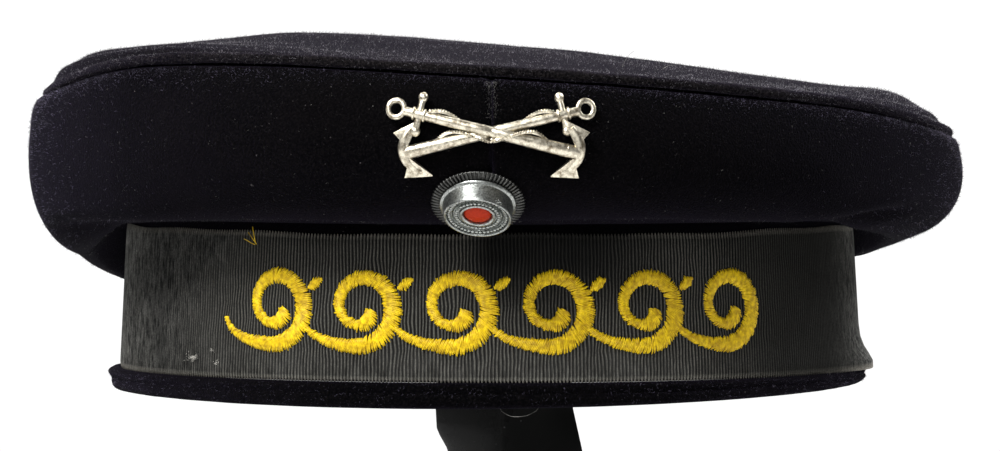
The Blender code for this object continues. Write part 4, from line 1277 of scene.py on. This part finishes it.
napLook = {
    "length": (0.0004, 0.0011), "radius": (0.000022, 0.000040), "lintCount": 520,
    "lintLength": (0.0002, 0.0007), "lintRadius": (0.00003, 0.00006), "fluffLength": (0.0003, 0.0009),
    "fluffRadius": (0.00004, 0.00009), "hairRadius": 0.00004, "hairSteps": 28, "rootShift": 0.0001,
    "lift": 0.15, "sway": 0.6, "fluffSway": 1.2, "sideRows": (2.5, 11.0), "rimShare": 0.84,
    "endSpread": 17, "endRows": (4.6, 11), "edgeTurns": (-80, 80), "edgeRow": 10.9, "edgeSpread": 0.45,
    "weltSwing": (-1.2, 2.4), "hemSpots": (0.18, 0.66), "seamTop": 0.0795, "seamLength": 0.0090,
    "seamOff": 0.0007, "seamSpread": 0.0005,
    # how many fibres, seed, lean, growth, girth and material
    "crownSideNap": (22000, 82, 1.0, 1.0, 1.0, "woolNap"),
    "crownTopNap": (13000, 83, 0.45, 1.1, 1.0, "woolNap"),
    # the pale nap on the top and the welt and the sheen nap on the ends, the upper edge and the hem are
    # painted light and painted sheen
    "crownTopPaintedLightNap": (20000, 87, 0.5, 0.62, 1.7, "paintedLightNap"),
    "crownEndNap": (6500, 88, 0.8, 1.0, 1.4, "paintedSheenNap"),
    "crownEdgeNap": (3500, 89, 0.8, 0.8, 1.3, "paintedSheenNap"), "weltNap": (4500, 84, 1.0, 1.0, 1.0, "paintedLightNap"),
    "hemNap": (4000, 85, 1.0, 0.9, 1.2, "paintedSheenNap"), "seamNap": (320, 86, 0.7, 0.55, 1.2, "paleLint"),
}

# white fluff: turn, share of the ribbon's height, fibres and spread in degrees
fluffSpots = ((-51.2, 0.11, 90, 0.30), (-50.4, 0.13, 40, 0.16), (-46.8, 0.17, 26, 0.14),
              (-52.6, 0.12, 14, 0.5), (63.0, -0.04, 46, 0.22), (-45.8, 0.08, 12, 0.3))

# loose hairs: points across, to the back and up from the rim
strayHairs = (
    ((0.0018, -0.0965, 0.0010), (0.0022, -0.0985, -0.0012), (0.0048, -0.0992, -0.0026),
     (0.0085, -0.0992, -0.0024), (0.0112, -0.0985, -0.0010), (0.0120, -0.0965, 0.0008)),
    ((0.0316, -0.1130, 0.0828), (0.0322, -0.1128, 0.0842), (0.0333, -0.1122, 0.0858),
     (0.0345, -0.1112, 0.0868)),
    ((0.0415, -0.1085, 0.0824), (0.0427, -0.1086, 0.0831), (0.0440, -0.1080, 0.0833),
     (0.0446, -0.1068, 0.0829)),
    ((0.0765, -0.0870, 0.0782), (0.0775, -0.0872, 0.0766), (0.0787, -0.0868, 0.0752),
     (0.0793, -0.0860, 0.0742)),
    ((0.0158, -0.1172, 0.0750), (0.0166, -0.1176, 0.0752), (0.0176, -0.1174, 0.0751),
     (0.0186, -0.1170, 0.0753)),
    ((0.0700, -0.0960, 0.0680), (0.0712, -0.0958, 0.0686), (0.0724, -0.0948, 0.0682),
     (0.0735, -0.0936, 0.0684)),
)


def sideRoots(dice, count):
    low, high = napLook["sideRows"]
    turn, row = dice.uniform(0, 360, count), low + (high - low) * dice.uniform(0, 1, count)
    return dressedSide(turn, row), sideNormal(turn, row)


def topRoots(dice, count):
    turn = dice.uniform(0, 360, count)
    share = np.where(dice.uniform(0, 1, count) < 0.6, np.sqrt(dice.uniform(0, 1, count)),
                     dice.uniform(napLook["rimShare"], 1, count))
    tip, angle = smoothStep(share, 0.88, 1.0), np.radians(turn)
    normal = unit(np.stack((np.sin(angle) * tip + 0.085, -np.cos(angle) * tip, 1 + 0 * turn), axis=-1))
    return dressedTop(turn, share), normal


def makeNap():
    dice = np.random.default_rng(81)
    threads = {name: makeFibre(name) for name in fibreLook}

    def addNap(name, roots, normals):
        count, seed, lean, grow, girth, thread = napLook[name]
        own = np.random.default_rng(seed)
        out, aside = own.uniform(0.25, 1.0, (count, 1)), own.normal(0, napLook["sway"], (count, 3))
        direction = normals * out + lean * aside
        rise = np.sum(direction * normals, axis=1, keepdims=True)
        direction += normals * np.maximum(0, napLook["lift"] - rise)
        lengths = grow * own.uniform(*napLook["length"], count) * own.uniform(0.6, 1.2, count)
        radii = girth * own.uniform(*napLook["radius"], count)
        nap = fibres(name, roots - normals * napLook["rootShift"], direction, lengths, radii)
        finishPiece(nap, threads[thread])

    addNap("crownSideNap", *sideRoots(dice, napLook["crownSideNap"][0]))
    for name in ("crownTopNap", "crownTopPaintedLightNap"):
        addNap(name, *topRoots(dice, napLook[name][0]))
    # painted sheen: light fibres at the crown's two ends
    count = napLook["crownEndNap"][0]
    turn = np.where(dice.uniform(0, 1, count) < 0.5, -90, 90) + dice.normal(0, napLook["endSpread"], count)
    row = dice.uniform(*napLook["endRows"], count)
    addNap("crownEndNap", dressedSide(turn, row), sideNormal(turn, row))
    count = napLook["crownEdgeNap"][0]
    turn = dice.uniform(*napLook["edgeTurns"], count)
    row = napLook["edgeRow"] - np.abs(dice.normal(0, napLook["edgeSpread"], count))
    addNap("crownEdgeNap", dressedSide(turn, row), sideNormal(turn, row))
    count = napLook["weltNap"][0]
    turn = dice.uniform(0, 360, count)
    swing = dice.uniform(*napLook["weltSwing"], count)[:, None]
    normal = unit(outwardAt(turn) * np.cos(swing) + upward * np.sin(swing))
    addNap("weltNap", weltMiddle(turn) + normal * weltLook["radius"], normal)
    count = napLook["hemNap"][0]
    turn = dice.uniform(0, 360, count)
    addNap("hemNap", hemPoint(turn, dice.uniform(*napLook["hemSpots"], count)), outwardAt(turn))
    count = napLook["seamNap"][0]
    side = np.where(dice.uniform(0, 1, count) < 0.5, -1, 1)
    across = side * napLook["seamOff"] + dice.normal(0, napLook["seamSpread"], count)
    height = napLook["seamTop"] - napLook["seamLength"] * dice.uniform(0, 1, count) ** 1.4
    turn, row = facePlace(across, height)
    addNap("seamNap", dressedSide(turn, row), sideNormal(turn, row))
    onSide, onTop = sideRoots(dice, napLook["lintCount"]), topRoots(dice, napLook["lintCount"] // 2)
    roots, normals = (np.concatenate(pair) for pair in zip(onSide, onTop))
    flatWay = unit(np.cross(normals, dice.normal(size=roots.shape))) + 0.12 * normals
    flecks = fibres("lintFlecks", roots + normals * napLook["rootShift"], flatWay,
                    dice.uniform(*napLook["lintLength"], len(roots)),
                    dice.uniform(*napLook["lintRadius"], len(roots)))
    finishPiece(flecks, threads["paleLint"])
    tufts = []
    for turn, share, count, spread in fluffSpots:
        spot = ribbonPoint(turn + dice.normal(0, spread, count),
                           share + 1.6 * dice.normal(0, spread / 60, count), 0.0001)
        direction = outwardAt(turn) + dice.normal(0, napLook["fluffSway"], (count, 3))
        tufts.append(fibres("fluff", spot, direction, dice.uniform(*napLook["fluffLength"], count),
                            dice.uniform(*napLook["fluffRadius"], count)))
    finishPiece(joinPieces(tufts, "ribbonFluff"), threads["paleFluff"])
    hairs = [thinHair("strayHair" + str(number), np.array(corners) + upward * rimLift,
                      napLook["hairSteps"], napLook["hairRadius"])
             for number, corners in enumerate(strayHairs)]
    finishPiece(joinPieces(hairs, "strayHairs"), threads["paleLint"])


def dressScene():
    makeCamera()
    makeLamps()
    makeFloor()
    print("studio ready")
    wool = makeWool("navyWool")
    makeCrownSide("crownSideFrontRight", 0, wool, "crown_side_front_right")
    makeCrownSide("crownSideBackRight", 90, wool, "crown_side_back_right")
    makeCrownSide("crownSideBackLeft", 180, wool, "crown_side_back_left")
    makeCrownSide("crownSideFrontLeft", 270, wool, "crown_side_front_left")
    makeCrownTop(makeWool("topWoolWithPaintedLight"))
    makeWelt(makeWool("weltWoolWithPaintedLight"))
    print("crown ready")
    makeHem(wool)
    makeBand(wool)
    makeRibbon(makeGrosgrain())
    makeEmbroidery(makeGoldThread())
    print("band, ribbon and embroidery ready")
    makeBadge(makeMetal("agedNickel"))
    makeCockade(makeMetal("darkRibbedMetal"), makeMetal("dullZinc"), makeEnamel())
    makeStand(makePlastic())
    print("metal and stand ready")
    makeNap()
    print("nap and lint ready")


dressScene()
